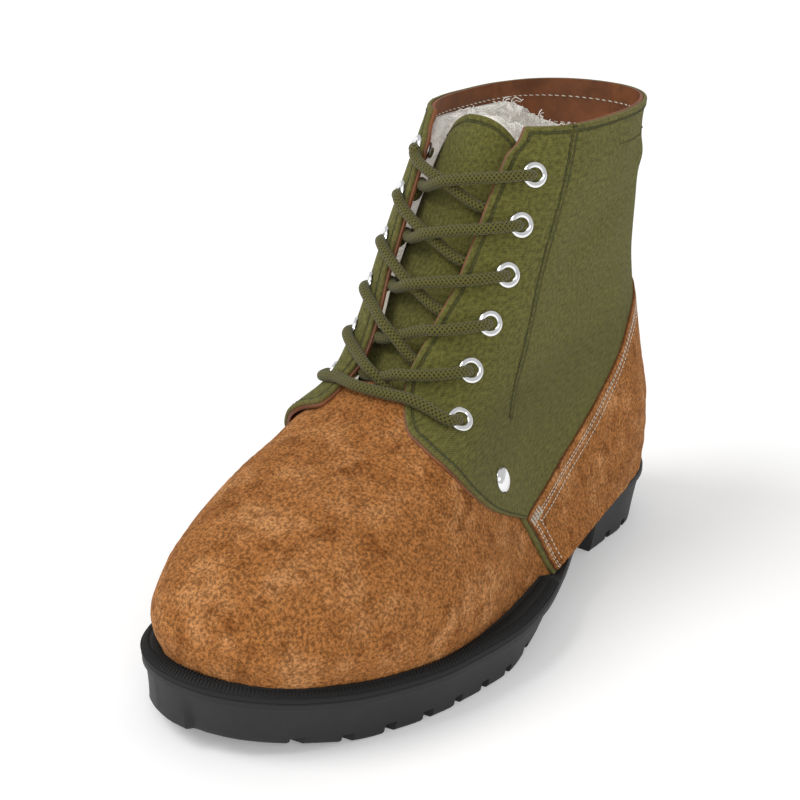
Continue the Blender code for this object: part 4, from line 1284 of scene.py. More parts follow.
    def stitching(self) -> None:
        """Rows of thread on the canvas, the counter and inside the collar."""
        olive, pale, inside = [], [], []
        for side, patch in self.patches.items():
            lift = 0.2
            front = patch.line_by_front(self.flap_row, 3.0)
            loose = self.lift(patch, side)[:, 0]
            loose = loose[patch.from_top()[:, 0] > 3.0]
            run = np.linspace(0, 1, len(front))
            offset = np.interp(np.linspace(0, 1, 4 * len(front)), run, loose) + self.canvas[1] + lift
            olive.append(Row.on_last(front, offset))
            for distance in self.collar_rows:
                line = patch.line_by_top(distance, 3.0 if distance < 5 else 62.0)
                olive.append(Row.on_last(line, self.canvas[1] + lift))
            seam = LAST.trace(self.eyestay, 80, side)[:-2]
            for step in (0.0, 2.2):
                moved = seam.copy()
                moved[:, 1] += side.value * step / LAST.arc(seam[:, 0], side)
                olive.append(Row.on_last(moved, self.canvas[1] + lift + 0.1))
            for distance in (8.0, 20.0):
                inside.append(Row.on_last(patch.line_by_top(distance, 6.0), -1.25))
        for half in self.halves:
            for row in self.counter_rows:
                pale.append(Row.on_last(half.line_by_top(row, row), self.suede[1] + 0.05))
            for row in (2.2, 3.6, 7.4):
                line = half.line_by_front(row, 3.0)
                pale.append(Row.on_last(line[8:] if row > 5 else line[4:], self.suede[1] + 0.05))
            pale += self.bartack(half)
        place_piece(bead_piece("stitching_canvas", olive, self.beads, OLIVE_THREAD.material(),
                               *OLIVE_STITCH), "thread")
        place_piece(bead_piece("stitching_counter", pale, self.beads, PALE_THREAD.material(), 2.1,
                               (1.6, 0.55, 0.5)), "thread")
        place_piece(bead_piece("stitching_collar", inside, self.beads, PALE_THREAD.material(), 3.0,
                               (2.2, 0.6, 0.5)), "thread")

    def bartack(self, half: Patch) -> list:
        """Dense stitches that hold the counter's front corner."""
        rows = []
        for k in range(5):
            line = half.line_by_top(2.0 + 0.9 * k, 1.2)
            rows.append(Row.on_last(line[:9], self.suede[1] + 0.2 + 0.05 * k, 0.5))
        return rows


@dataclass
class EyeletLine:
    """Where the eyelets sit: three marks in side view for each side, and their number."""

    marks: dict = field(default_factory=lambda: {
        Side.LATERAL: ((-23, 98.8), (7.4, 138.4), (32.5, 184.8)),
        Side.MEDIAL: ((-20, 101.5), (5, 140.5), (30, 187.0)),
    })
    rows: int = 6


def eyelet_places(side: Side) -> np.ndarray:
    """Levels and shares of a side's eyelets, from the lowest up."""
    line = EyeletLine()
    marks = smooth_row(line.marks[side], np.linspace(0, 1, line.rows))
    return np.array([LAST.find(y, z, side) for y, z in marks])


@dataclass
class Hardware:
    """Rolled metal eyelets and domed rivets."""

    hole: float = 2.75
    flange: float = 5.3
    roll: float = 1.15
    seat: float = 1.85
    depth: float = 3.6
    rivet: tuple = (-10.5, 72.0)
    rivet_radius: float = 5.1
    sides: int = 40

    def turned(self, name: str, profile: np.ndarray, level: float, share: float) -> bpy.types.Object:
        """Turn a closed profile of radius and height about the upper's normal.

        Args:
            name: name of the piece.
            profile: radius and height of each corner.
            level, share: where it sits.

        Returns:
            The new object.
        """
        here, along, across, out = axes_at(level, share)
        turns = np.arange(self.sides) * tau / self.sides
        spokes = np.outer(np.cos(turns), along) + np.outer(np.sin(turns), across)
        points = here + spokes[:, None] * profile[None, :, :1] + out * profile[None, :, 1:]
        size = len(profile)
        faces = []
        for i in range(self.sides):
            a, b = i * size, ((i + 1) % self.sides) * size
            faces += [(a + j, b + j, b + (j + 1) % size, a + (j + 1) % size) for j in range(size)]
        return make_mesh(name, points.reshape(-1, 3), faces, PLATED.material(), angle=70)

    def eyelet_profile(self) -> np.ndarray:
        """Barrel with a rolled flange on top and a clinched one inside."""
        turns = np.linspace(pi, 0, 13)
        middle, half = (self.hole + self.flange) / 2, (self.flange - self.hole) / 2
        top = [(middle + half * np.cos(t), self.seat + self.roll * np.sin(t) ** 0.8) for t in turns]
        low = -self.depth
        under = [(self.flange - 0.4, self.seat + 0.05), (self.hole + 0.45, self.seat - 0.1),
                 (self.hole + 0.45, low + 0.7), (self.flange - 1.2, low + 0.5),
                 (self.flange - 1.0, low + 0.1), (self.hole + 0.8, low - 0.3), (self.hole, low)]
        return np.array(top + under)

    def build(self) -> None:
        """Make every eyelet and rivet."""
        profile = self.eyelet_profile()
        for side in Side:
            for row, (level, share) in enumerate(eyelet_places(side), start=1):
                name = f"eyelet_{side.name.lower()}_{row}"
                place_piece(self.turned(name, profile, level, share), "steel", name)
            name = f"rivet_{side.name.lower()}"
            turns = np.linspace(0, pi / 2, 10)
            dome = [(self.rivet_radius * np.cos(t) + 0.02, 2.7 + 1.6 * np.sin(t)) for t in turns]
            rim = [(0.02, 1.5), (self.rivet_radius + 0.3, 1.5), (self.rivet_radius + 0.45, 2.4)]
            piece = self.turned(name, np.array(rim + dome), *LAST.find(*self.rivet, side))
            place_piece(piece, "steel", name)


@dataclass
class Lacing:
    """One lace: a bar between the lowest eyelets, then both ends crossing up to the top eyelets."""

    radius: float = 2.3
    sides: int = 18
    step: float = 0.9
    over: float = 4.4
    under: float = -4.6
    hole: float = -1.0
    bar_level: float = 0.692
    throat_levels: tuple = (0.645, 0.665, 0.70, 0.76, 0.85, 0.95, 1.0)
    throat_half: tuple = (0.0, 7.0, 12.0, 14.5, 18.0, 20.5, 26.0)

    def stops(self, side: Side) -> list:
        """Stops of one lace end as (level, distance across, offset), from the lowest eyelet up.

        Args:
            side: the side whose lowest eyelet it leaves inwards.

        Returns:
            The stops, inside the flap, over the tongue and back in at each eyelet.
        """
        stops = []
        places = {s: eyelet_places(s) for s in Side}
        here = side
        for row in range(EyeletLine().rows - 1):
            other = Side(-here.value)
            level, share = places[here][row]
            above = places[here][row + 1][0]
            goal, goal_share = places[other][row + 1]
            across = share * LAST.arc(level, here)
            reach = goal_share * LAST.arc(goal, other)
            start = level + (0.78 if row == 0 else 0.42) * (above - level)
            gap = float(spline(self.throat_levels, self.throat_half, start))
            edge = float(spline(self.throat_levels, self.throat_half, goal))
            lift = 1.5 if other is Side.LATERAL else -1.3
            if row < 2:
                lift = -lift
            sign = other.value
            stops += [
                (level, across, self.hole),
                (level + 0.2 * (start - level), across * 0.93, self.under + 0.4),
                (start, -sign * (gap + 5.0), self.under),
                (start + 0.04 * (goal - start), -sign * (gap - self.radius), -2.6),
                (start + 0.55 * (goal - start), sign * 1.0, 0.8 + lift),
                (goal - 0.10 * (goal - start), sign * (edge - 1.0), self.over),
                (goal, reach - sign * 6.3, self.over + 0.1),
                (goal, reach - sign * 2.0, self.over - 1.7),
            ]
            here = other
        level, share = places[here][EyeletLine().rows - 1]
        stops += [(level, share * LAST.arc(level, here), self.hole),
                  (level, share * LAST.arc(level, here) * 1.02, self.under - 1.0)]
        return stops

    def path(self) -> np.ndarray:
        """Even points along the whole lace."""
        medial, lateral = self.stops(Side.MEDIAL), self.stops(Side.LATERAL)
        first, last = medial[0], lateral[0]
        bar = [
            (first[0], first[1] + 2.0, self.over - 1.7), (first[0], first[1] + 6.3, self.over),
            (self.bar_level - 0.01, -18.0, self.over), (self.bar_level, 0.0, self.over - 0.3),
            (self.bar_level - 0.01, 18.0, self.over),
            (last[0], last[1] - 6.3, self.over), (last[0], last[1] - 2.0, self.over - 1.7),
        ]
        stops = np.array(medial[::-1] + bar + lateral)
        points = LAST.at(stops[:, 0], LAST.across(stops[:, 0], stops[:, 1]), stops[:, 2])
        run = lengths(points)
        fine = np.linspace(0, run[-1], int(run[-1] / 0.5))
        curve = np.column_stack([spline(run, points[:, k], fine) for k in range(3)])
        kernel = np.hanning(7)
        kernel /= kernel.sum()
        for k in range(3):
            curve[3:-3, k] = np.convolve(curve[:, k], kernel, "same")[3:-3]
        run = lengths(curve)
        even = np.linspace(0, run[-1], int(run[-1] / self.step))
        return np.column_stack([np.interp(even, run, curve[:, k]) for k in range(3)])

    def build(self) -> None:
        """Make the lace one mesh with its own map."""
        path = self.path()
        LOG.info("lace shows a path of %.0f mm", lengths(path)[-1])
        tangent = np.gradient(path, axis=0)
        tangent /= np.linalg.norm(tangent, axis=1, keepdims=True)
        across = np.cross(tangent[0], (0.0, 0.0, 1.0))
        turns = np.arange(self.sides) * tau / self.sides
        rings = []
        for here, along in zip(path, tangent):
            across = across - along * across.dot(along)
            across /= np.linalg.norm(across)
            up = np.cross(along, across)
            rings.append(here + self.radius * (np.outer(np.cos(turns), across) + np.outer(np.sin(turns), up)))
        rings = np.array(rings)
        count, sides = len(rings), self.sides
        round_share = np.abs(np.arange(sides) / sides * 2 - 1) * 0.5
        run = np.repeat(lengths(path)[:, None], sides, 1) / UV_TILE
        uv = np.stack([np.broadcast_to(round_share, (count, sides)), run], -1)
        piece = make_mesh("lace", rings.reshape(-1, 3), tube_faces(count, sides), LACE.material(),
                          uv=uv.reshape(-1, 2), angle=80)
        nodes = ["lace_bar"] + [f"lace_crossing_{k}" for k in range(1, EyeletLine().rows)]
        place_piece(piece, "lace", *nodes)


@dataclass
class Inside:
    """Fleece lining, insole and tongue."""

    throat: Lacing = field(default_factory=Lacing)
    below_collar: float = 0.925
    tongue_root: float = 0.625
    tongue_half: float = 31.0
    tongue_depth: float = 8.0
    tongue_wall: float = 2.5
    tongue_row: float = 3.0
    lock_length: float = 0.006
    collar_density: float = 4.5e5
    tongue_density: float = 2.6e6

    def lining(self) -> None:
        """Fleece inside the shaft and the foot."""
        t = np.linspace(-1, 1, 260)
        for name, low, high in (("lining_shaft", 0.60, self.below_collar), ("lining_foot", 0.035, 0.60)):
            gap = 1.0 if low > 0.5 else 0.0
            level = low + np.linspace(0, 1, 70)[:, None] * (high + gap * self.rim_rise(t) - low)[None]
            place = np.broadcast_to(t, level.shape)
            share = self.shares(level, place, gap)
            outer = LAST.at(level, share, -1.75)
            lumps = bump_noise(outer, 4.5, 12) + 0.6 * bump_noise(outer, 2.2, 13)
            thick = 1.6 + gap * 3.6 * np.clip((level - 0.8) / 0.14, 0, 1)
            inner = LAST.at(level, share, -1.8 - thick - 0.45 * thick * lumps)
            points, faces = wall(outer, inner)
            piece = make_mesh(name, points, faces, FLEECE.material(), angle=180)
            place_piece(piece, "fleece")

    def shares(self, level: np.ndarray, place: np.ndarray, gap: float) -> np.ndarray:
        """Signed shares of places from -1 (medial flap) over 0 (back) to 1, clear of the flaps."""
        arcs = np.where(place > 0, LAST.arc(level, Side.LATERAL), LAST.arc(level, Side.MEDIAL))
        clear = gap * (spline(self.throat.throat_levels, self.throat.throat_half, level) + 22.0) / arcs
        return np.where(place > 0, 1 - place * (1 - clear), -1 - place * (1 - clear))

    def rim_rise(self, place: np.ndarray) -> np.ndarray:
        """Levels by which the pile's upper edge stands higher than at the back."""
        return np.interp(place, (-1, -0.5, -0.15, 0.4, 1), (0.058, 0.05, 0.0, 0.0, 0.02))

    def insole(self) -> None:
        """Fleece insole, lumpy on top."""
        t = np.linspace(-1, 1, 241)[:-1]
        share = np.where(t > 0, 1 - t, -1 - t)
        rim = LAST.at(0.03, share, -5.0)
        rings = []
        for k in np.linspace(1, 0.02, 30):
            ring = rim.copy()
            middle = np.column_stack([np.full(len(t), -1.0), np.clip(rim[:, 1], -105, 112)])
            ring[:, :2] = middle + (rim[:, :2] - middle) * k
            ring[:, 2] = SOLE.top(ring[:, 1]) + 3.3 + 0.5 * bump_noise(ring, 4.0, 21) * min(1, (1 - k) * 8)
            rings.append(ring)
        low = rim.copy()
        low[:, 2] = SOLE.top(low[:, 1]) + 0.3
        nets = np.array([low] + rings)
        count, size = nets.shape[:2]
        faces = tube_faces(count, size, flip=True)
        piece = make_mesh("insole", nets.reshape(-1, 3), faces, FLEECE.material(), angle=180)
        recalculate(piece)
        place_piece(piece, "fleece", "insole")

    def tongue(self) -> None:
        """Canvas tongue with a rounded, stitched top and fleece behind it."""
        up = np.linspace(self.tongue_root, 1.0, 110)
        depth = np.interp(up, (self.tongue_root, 0.68), (2.4, self.tongue_depth))
        widths = (22, self.tongue_half, self.tongue_half, 27)
        half = np.interp(up, (self.tongue_root, 0.75, 0.95, 1.0), widths)
        share = np.linspace(-1, 1, 90)
        level = np.broadcast_to(up[:, None], (110, 90))
        across = LAST.across(level, share[None] * half[:, None])
        dip = np.clip((up - 0.93) / 0.07, 0, 1)[:, None] ** 2
        rise = dip * (5.0 - 13.0 * np.abs(share[None]) ** 2.4)

        def sheet(extra: float) -> np.ndarray:
            """Net of the tongue, set back by an extra depth."""
            net = LAST.at(level, across, -depth[:, None] - extra)
            net = net + 0.35 * bump_noise(net, 13.0, 31)[..., None] * LAST.normal(level, across)
            net[..., 2] += rise
            net[..., 1] += 0.25 * rise
            return net

        outer, middle, inner = sheet(0.0), sheet(1.1), sheet(self.tongue_wall)
        points, faces = wall(outer, middle)
        top = lengths(outer[::-1], axis=0)[::-1]
        side = np.minimum(lengths(outer, axis=1), lengths(outer[:, ::-1], axis=1)[:, ::-1])
        edge = np.minimum(top, side)
        uv = np.stack([share[None] * half[:, None], lengths(outer, axis=0)], -1).reshape(-1, 2)
        values = {"edge": np.tile(edge.ravel(), 2), "seam": np.full(2 * edge.size, NO_SEAM)}
        piece = make_mesh("tongue", points, faces, CANVAS.material(), values, np.tile(uv, (2, 1)) / UV_TILE)
        place_piece(piece, "canvas", "tongue")
        puff = np.clip((up - 0.86) / 0.12, 0, 1)[:, None]
        lumps = 1.2 + 0.8 * bump_noise(inner, 4.5, 33) + puff * (9.0 + 3.0 * bump_noise(inner, 8.0, 34))
        back = inner - LAST.normal(level, across) * lumps[..., None]
        back[..., 2] += puff * (4.0 + 1.5 * bump_noise(inner, 7.0, 35))
        points, faces = wall(middle - 0.05 * LAST.normal(level, across), back)
        piece = make_mesh("tongue_lining", points, faces, FLEECE.material(), angle=180)
        place_piece(piece, "fleece")
        sewn = range(6, 84)
        line = np.array([[np.interp(self.tongue_row, top[::-1, j], outer[::-1, j, k]) for k in range(3)]
                         for j in sewn])
        out = np.array([LAST.normal(0.98, float(across[-1, j])) for j in sewn])
        along = np.gradient(line, axis=0)
        along /= np.linalg.norm(along, axis=1, keepdims=True)
        row = Row(line + out * 0.15, along + 0.12 * np.cross(out, along), out)
        tree = bpy.data.node_groups["stitches"]
        piece = bead_piece("stitching_tongue", [row], tree, OLIVE_THREAD.material(), *OLIVE_STITCH)
        place_piece(piece, "thread")

    def pile_tree(self) -> bpy.types.NodeTree:
        """Geometry nodes that grow tapered, curled locks from a surface."""
        tree = bpy.data.node_groups.new("pile", "GeometryNodeTree")
        face = tree.interface
        face.new_socket(name="Surface", in_out="INPUT", socket_type="NodeSocketGeometry")
        for key, kind in (("Density", FLOAT), ("Length", FLOAT), ("Finish", "NodeSocketMaterial")):
            face.new_socket(name=key, in_out="INPUT", socket_type=kind)
        face.new_socket(name="Pile", in_out="OUTPUT", socket_type="NodeSocketGeometry")
        graph = Tree(tree)
        given = graph.add("NodeGroupInput").outputs
        where = graph.add("GeometryNodeDistributePointsOnFaces",
                          {"Mesh": given["Surface"], "Density": given["Density"], "Seed": 7})
        curl = graph.add("GeometryNodeCurveSpiral", {
            "Resolution": 5, "Rotations": 1.2, "Start Radius": 0.0017, "End Radius": 0.0006,
            "Height": given["Length"]})
        ring = graph.add("GeometryNodeCurvePrimitiveCircle", {"Resolution": 3, "Radius": 0.00024})
        lock = graph.add("GeometryNodeCurveToMesh",
                         {"Curve": curl.outputs[0], "Profile Curve": ring.outputs[0]})
        lean = 0.75
        spin = graph.add("FunctionNodeRandomValue",
                         {"Min": (-lean, -lean, 0.0), "Max": (lean, lean, tau), "Seed": 3},
                         data_type="FLOAT_VECTOR")
        turn = graph.add("FunctionNodeEulerToRotation", {0: spin.outputs[0]})
        both = graph.add("FunctionNodeRotateRotation",
                         {"Rotation": where.outputs["Rotation"], "Rotate By": turn.outputs[0]},
                         rotation_space="LOCAL")
        size = graph.add("FunctionNodeRandomValue", {2: 0.55, 3: 1.35, "Seed": 5}, data_type="FLOAT")
        locks = graph.add("GeometryNodeInstanceOnPoints", {
            "Points": where.outputs["Points"], "Instance": lock.outputs[0], "Rotation": both.outputs[0],
            "Scale": size.outputs[1]})
        real = graph.add("GeometryNodeRealizeInstances", {"Geometry": locks.outputs[0]})
        smooth = graph.add("GeometryNodeSetShadeSmooth", {"Geometry": real.outputs[0]})
        done = graph.add("GeometryNodeSetMaterial",
                         {"Geometry": smooth.outputs[0], "Material": given["Finish"]})
        graph.add("NodeGroupOutput", {"Pile": done.outputs[0]})
        return tree

    def pile(self) -> None:
        """Locks of fleece that stand up round the opening."""
        tree = self.pile_tree()
        t = np.linspace(-1, 1, 160)
        level = 0.82 + np.linspace(0, 1, 14)[:, None] * (self.below_collar + self.rim_rise(t) - 0.82)[None]
        share = self.shares(level, np.broadcast_to(t, level.shape), 1.0)
        self.grow("fleece_collar", LAST.at(level, share, -6.0), tree, self.collar_density)
        share = np.linspace(-1, 1, 60)[None] * np.ones((20, 1))
        level = np.linspace(0.90, 1.0, 20)[:, None] * np.ones((1, 60))
        across = LAST.across(level, share * 29.0)
        net = LAST.at(level, across, -self.tongue_depth - 9.0 * np.linspace(1, 0.5, 20)[:, None])
        net[..., 2] += 5.0 * (1 - np.abs(share) ** 2.4)
        self.grow("fleece_tongue", net, tree, self.tongue_density)

    def grow(self, name: str, net: np.ndarray, tree: bpy.types.NodeTree, density: float) -> None:
        """Grow pile from a net that faces inwards.

        Args:
            name: name of the piece.
            net: rows by columns of points.
            tree: the pile tree.
            density: locks for each square metre.
        """
        rows, columns, _ = net.shape
        index = np.arange(rows * columns).reshape(rows, columns)
        faces = np.stack([index[:-1, :-1], index[:-1, 1:], index[1:, 1:], index[1:, :-1]], -1).reshape(-1, 4)
        normal = np.cross(net[0, 1] - net[0, 0], net[1, 0] - net[0, 0])
        middle = net.reshape(-1, 3).mean(0) - net[0, 0]
        if normal.dot(middle) < 0:
            faces = faces[:, ::-1]
        piece = make_mesh(name, net.reshape(-1, 3), faces, FLEECE.material())
        apply_tree(piece, tree, {"Density": density, "Length": self.lock_length,
                                 "Finish": FLEECE.material()})
        place_piece(piece, "fleece")


def recalculate(piece: bpy.types.Object) -> None:
    """Point the faces of a closed mesh outwards."""
    work = bmesh.new()
    work.from_mesh(piece.data)
    bmesh.ops.recalc_face_normals(work, faces=work.faces)
    work.to_mesh(piece.data)
    work.free()


@dataclass
class Bottom:
    """Moulded sole with its ribbed storm welt."""

    taper: dict = field(default_factory=lambda: {Side.LATERAL: 5.5, Side.MEDIAL: 3.0})
    rim: float = 3.0
    rim_step: float = 1.2
    pitch: float = 15.0
    groove: float = 4.6
    depth: float = 4.5
    turn: float = radians(9)
    forefoot_axis: float = 8.0
    centre_bar: float = 13.0
    welt_share: dict = field(default_factory=lambda: {Side.LATERAL: 0.56, Side.MEDIAL: 0.475})
    welt_height: float = 4.2
    rib_pitch: float = 1.45

    def stations(self) -> np.ndarray:
        """Stations of the sole's loops, close together at its round ends."""
        toe = SOLE.toe + 85.0 * (1 - np.cos(np.linspace(0, pi / 2, 46)))
        heel = SOLE.heel - SOLE.heel_round * (1 - np.cos(np.linspace(pi / 2, 0, 28)))
        middle = np.arange(toe[-1] + 3, heel[0] - 1, 3.0)
        middle = middle[(middle < 76) | (middle > 83)]
        return np.sort(np.concatenate([toe, middle, (78.0, SOLE.breast, 79.5), heel]))

    def ring(self, inset: Any) -> np.ndarray:
        """Loop of the outline drawn in by an inset, as x and y."""
        y = self.stations()
        lateral = np.column_stack([SOLE.edge(y, Side.LATERAL), y])
        medial = np.column_stack([SOLE.edge(y, Side.MEDIAL), y])[-2:0:-1]
        ring = np.concatenate([lateral, medial])
        along = np.roll(ring, -1, axis=0) - np.roll(ring, 1, axis=0)
        out = np.column_stack([along[:, 1], -along[:, 0]]) / np.linalg.norm(along, axis=1, keepdims=True)
        return ring - out * np.broadcast_to(inset, len(ring))[:, None]

    def sole(self) -> None:
        """Sole with its stepped rim, tapered side, mould line, lugs and flash."""
        base = self.ring(0.0)
        y = base[:, 1]
        centre = (SOLE.edge(y, Side.LATERAL) + SOLE.edge(y, Side.MEDIAL)) / 2
        taper = np.where(base[:, 0] > centre, self.taper[Side.LATERAL], self.taper[Side.MEDIAL])
        top, low = SOLE.top(y), SOLE.underside(y)
        random = np.random.default_rng(11)
        flash = np.convolve(random.uniform(-1, 1, len(y) + 4), np.ones(3) / 3, "same")[2:-2]
        side = top - self.rim - 0.6
        mould = np.exp(-((base[:, 0] + 20.0) / 0.7) ** 2) * (y < -100) * 0.35
        rows = [(taper + 0.3, low), (taper - 0.1 + 0.25 * flash, low + 0.25),
                (taper - 0.8 + 0.2 * flash, low + 1.2)]
        for part in (0.12, 0.3, 0.5, 0.7, 0.88):
            swell = 0.25 * np.sin(part * pi) - mould
            inset = (taper - 0.8) * (1 - part) + self.rim_step * part + swell
            rows.append((inset, low + 1.2 + (side - low - 1.2) * part))
        rows += [(self.rim_step, side), (0.25, top - self.rim - 0.35), (0.0, top - self.rim), (0.0, top - 0.8),
                 (0.5, top - 0.1), (1.2, top)]
        loops = np.array([np.column_stack([self.ring(inset), height]) for inset, height in rows])
        count, size = loops.shape[:2]
        faces = ring_faces(count, size, flip=True)
        half = size // 2
        for start, flip in ((0, True), ((count - 1) * size, False)):
            for i in range(half):
                face = [start + i, start + i + 1, start + (size - i - 1) % size, start + (size - i) % size]
                face = list(dict.fromkeys(face))
                faces.append(face[::-1] if flip else face)
        piece = make_mesh("outsole", loops.reshape(-1, 3), faces, RUBBER.material(), angle=28)
        recalculate(piece)
        carve(piece, [self.grooves(), self.channels()])
        piece.data.shade_smooth()
        piece.data.set_sharp_from_angle(angle=radians(28))
        place_piece(piece, "rubber", "outsole")

    def boxes(self, name: str, rows: Sequence[tuple]) -> bpy.types.Object:
        """Closed boxes as one object, from (centre, size, turn) rows."""
        points, faces = [], []
        for n, (centre, size, turn) in enumerate(rows):
            for x in (-0.5, 0.5):
                for y in (-0.5, 0.5):
                    for z in (-0.5, 0.5):
                        a, b = x * size[0], y * size[1] * (1.12 if z < 0 else 0.9)
                        points.append((centre[0] + a * np.cos(turn) - b * np.sin(turn),
                                       centre[1] + a * np.sin(turn) + b * np.cos(turn),
                                       centre[2] + z * size[2]))
            for face in ((0, 1, 3, 2), (4, 6, 7, 5), (0, 4, 5, 1), (2, 3, 7, 6), (0, 2, 6, 4), (1, 5, 7, 3)):
                faces.append(tuple(8 * n + k for k in face))
        piece = make_mesh(name, np.array(points), faces, RUBBER.material())
        recalculate(piece)
        return piece

    def grooves(self) -> bpy.types.Object:
        """Slots between the lugs, open to the sides of the sole."""
        rows = []
        for y in [-121.0 + self.pitch * k for k in range(8)] + [99.0, 114.0, 129.0]:
            axis = self.forefoot_axis if y < 0 else 0.0
            bar = self.centre_bar if y < 0 else self.centre_bar - 3
            top = float(SOLE.underside(np.array([y]))[0]) + self.depth
            for side in Side:
                centre = (axis + side.value * (bar + 40), y, top - 5)
                rows.append((centre, (80, self.groove, 10), side.value * self.turn))
        return self.boxes("side_grooves", rows)

    def channels(self) -> bpy.types.Object:
        """Slots round the blocks in the middle of the forefoot."""
        rows = [((self.forefoot_axis + side.value * self.centre_bar, -70, self.depth - 5), (3.4, 92, 10), 0.0)
                for side in Side]
        for k in range(1, 7):
            y = -121.0 + self.pitch * (k + 0.5)
            rows.append(((self.forefoot_axis, y, self.depth - 5), (18, 3.0, 10), 0.0))
        return self.boxes("centre_grooves", rows)

    def welt(self) -> None:
        """Storm welt round the forefoot: a smooth strip under two rows of fine ribs."""
        halves = []
        for side in Side:
            places = np.linspace(0, self.welt_share[side], 150)
            end_y = LAST.at(0.0, side.value * places[-1])[1]
            y = SOLE.toe + (end_y - SOLE.toe) * (1 - np.cos(np.linspace(0, pi / 2, 400)))
            edge = np.column_stack([SOLE.edge(y, side), y])
            run = lengths(edge)
            share = places / places[-1]
            edge = np.column_stack([np.interp(share * run[-1], run, edge[:, k]) for k in range(2)])
            along = np.gradient(edge, axis=0)
            out = side.value * np.column_stack([along[:, 1], -along[:, 0]])
            out /= np.linalg.norm(along, axis=1, keepdims=True)
            out[0] = (0, -1)
            fade = np.clip((1 - share) / 0.05, 0.15, 1)
            base = SOLE.top(edge[:, 1])
            inner = LAST.at(0.0, side.value * places)[:, :2]
            high = LAST.at(0.028, side.value * places, 0.45)[:, :2]
            section = [np.column_stack([inner, base + 0.3]),
                       np.column_stack([high, base + self.welt_height * fade])]
            for step, lift in ((-2.6, 4.15), (-1.3, 3.5), (-0.5, 2.8), (0.1, 2.0), (0.3, 1.2), (0.25, 0.3)):
                section.append(np.column_stack([edge + out * step * fade[:, None], base + lift * fade]))
            halves.append(np.array(section).transpose(1, 0, 2))
        lateral, medial = halves
        rings = np.concatenate([medial[:0:-1], lateral])
        count, size, _ = rings.shape
        faces = tube_faces(count, size)
        piece = make_mesh("welt", rings.reshape(-1, 3), faces, WELT_RUBBER.material(), angle=60)
        recalculate(piece)
        place_piece(piece, "welt_rubber", "welt")
        self.ribs(rings)

    def ribs(self, rings: np.ndarray) -> None:
        """Fine cross ribs on the welt's slope and along its edge."""
        tree = BeadTree("ribs", 6, 5).tree()
        up, top, low = rings[:, 1], rings[:, 2], rings[:, 4]
        slope = top - low
        slope /= np.linalg.norm(slope, axis=1, keepdims=True)
        along = np.gradient(top, axis=0)
        out = np.cross(along, slope)
        out /= np.linalg.norm(out, axis=1, keepdims=True)
        out *= np.sign(out[:, 2:3])
        keep = slice(6, len(rings) - 6)
        upper = Row((0.5 * (top + up))[keep], (up - top)[keep], out[keep])
        middle = Row((0.55 * top + 0.45 * low)[keep], slope[keep], out[keep])
        lower = Row(rings[keep, 5] + 0.1 * out[keep], np.gradient(rings[keep, 5], axis=0), out[keep])
        piece = bead_piece("welt_ribs", [upper, middle], tree, WELT_RUBBER.material(), self.rib_pitch,
                           (3.4, 0.95, 1.7))
        place_piece(piece, "welt_rubber")
        piece = bead_piece("welt_beads", [lower], tree, WELT_RUBBER.material(), 1.0, (0.8, 0.7, 0.7))
        place_piece(piece, "welt_rubber")


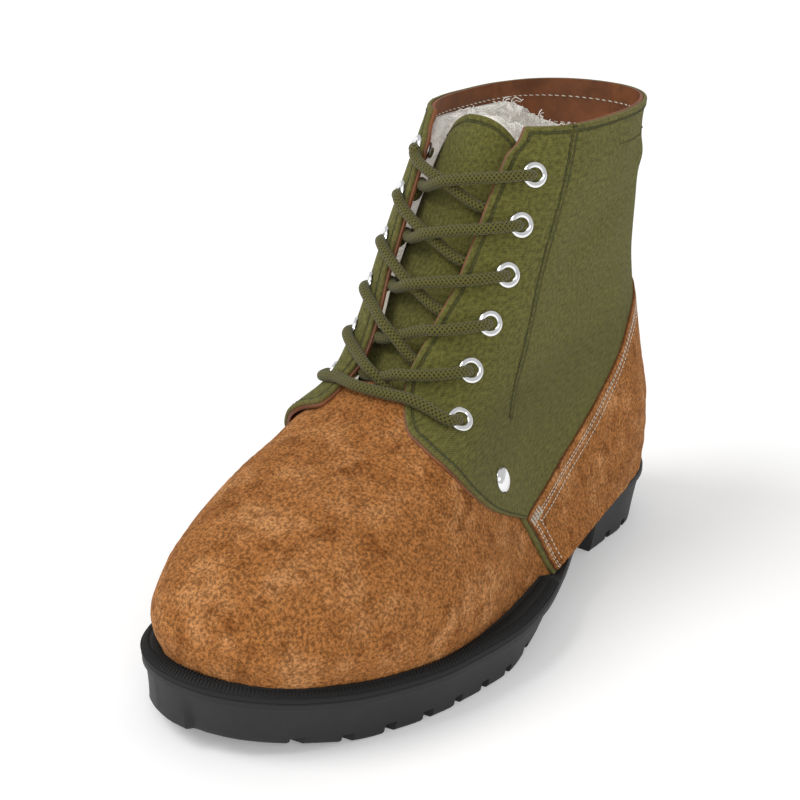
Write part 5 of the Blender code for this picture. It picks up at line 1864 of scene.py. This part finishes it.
@dataclass
class Studio:
    """Camera at the photo's angle, pale floor and soft lights."""

    camera_at: tuple = (388.863, -559.623, 377.866)
    camera_right: tuple = (0.742639, 0.669279, -0.023525)
    camera_up: tuple = (-0.230473, 0.288402, 0.929358)
    focal_pixels: float = 1407.0
    picture: float = 800.0
    sensor: float = 36.0
    closer: float = 1.28  # longer lens from the same place, to frame the one boot
    pan: float = radians(6.2)
    tilt: float = radians(1.1)

    def camera(self) -> None:
        """Set the camera."""
        data = bpy.data.cameras.new("camera")
        data.sensor_width = self.sensor
        data.lens = self.closer * self.sensor * self.focal_pixels / self.picture
        camera = bpy.data.objects.new("camera", data)
        bpy.context.scene.collection.objects.link(camera)
        right, up = np.array(self.camera_right), np.array(self.camera_up)
        place = (np.array(self.camera_at) + SHIFT) * MM
        axes = np.column_stack([right, up, np.cross(right, up)])
        photo = Matrix([(*row, at) for row, at in zip(axes, place)] + [(0, 0, 0, 1)])
        turned = Matrix.Rotation(-self.pan, 4, "Y") @ Matrix.Rotation(-self.tilt, 4, "X")
        camera.matrix_world = photo @ turned
        bpy.context.scene.camera = camera

    def floor(self) -> None:
        """Pale floor."""
        mesh = bpy.data.meshes.new("floor")
        half = 60.0
        corners = [(-half, -half, 0), (half, -half, 0), (half, half, 0), (-half, half, 0)]
        mesh.from_pydata(corners, [], [(0, 1, 2, 3)])
        finish = bpy.data.materials.new("floor")
        finish.use_nodes = True
        shader = finish.node_tree.nodes["Principled BSDF"]
        shader.inputs["Base Color"].default_value = (0.9, 0.9, 0.9, 1)
        shader.inputs["Roughness"].default_value = 0.9
        shader.inputs["Emission Color"].default_value = (1, 1, 1, 1)
        shader.inputs["Emission Strength"].default_value = 0.22
        mesh.materials.append(finish)
        floor = bpy.data.objects.new("floor", mesh)
        bpy.context.scene.collection.objects.link(floor)

    def sun(self, name: str, at: tuple, spread: float, power: float) -> None:
        """Wide even light from a direction, its spread in degrees."""
        data = bpy.data.lights.new(name, "SUN")
        data.angle = radians(spread)
        data.energy = power
        lamp = bpy.data.objects.new(name, data)
        lamp.location = at
        lamp.rotation_euler = Vector(at).to_track_quat("Z", "Y").to_euler()
        bpy.context.scene.collection.objects.link(lamp)

    def light(self, name: str, at: tuple, size: float, power: float) -> None:
        """Soft square light that faces the boot."""
        data = bpy.data.lights.new(name, "AREA")
        data.size = size
        data.energy = power
        lamp = bpy.data.objects.new(name, data)
        lamp.location = at
        lamp.rotation_euler = (Vector(at) - Vector((0, 0, 0.09))).to_track_quat("Z", "Y").to_euler()
        bpy.context.scene.collection.objects.link(lamp)

    def build(self) -> None:
        """Camera, floor, lights and a white surrounding."""
        self.camera()
        self.floor()
        world = bpy.data.worlds.new("studio")
        world.use_nodes = True
        shade = world.node_tree.nodes["Background"]
        shade.inputs["Color"].default_value = (1, 1, 1, 1)
        shade.inputs["Strength"].default_value = 0.6
        tree = Tree(world.node_tree)
        seen = tree.add("ShaderNodeLightPath").outputs["Is Camera Ray"]
        white = tree.add("ShaderNodeBackground", {"Color": (1, 1, 1, 1), "Strength": 1.05})
        both = tree.add("ShaderNodeMixShader", {0: seen, 1: shade.outputs[0], 2: white.outputs[0]})
        world.node_tree.links.new(both.outputs[0], world.node_tree.nodes["World Output"].inputs["Surface"])
        bpy.context.scene.world = world
        self.sun("key", (-0.55, -0.75, 1.3), 30.0, 1.25)
        self.light("strip", (0.9, -0.9, 0.9), 0.4, 3.0)
        bpy.context.scene.view_settings.view_transform = "Standard"


def main() -> None:
    """Build every sub-assembly in order."""
    logging.basicConfig(level=logging.INFO, format="%(name)s: %(message)s")
    Studio().build()
    Bottom().sole()
    Bottom().welt()
    upper = Upper()
    upper.vamp()
    upper.quarters()
    upper.canvas_foot()
    upper.counter()
    upper.stitching()
    Hardware().build()
    Lacing().build()
    inside = Inside()
    inside.lining()
    inside.insole()
    inside.tongue()
    inside.pile()


if __name__ == "__main__":
    main()
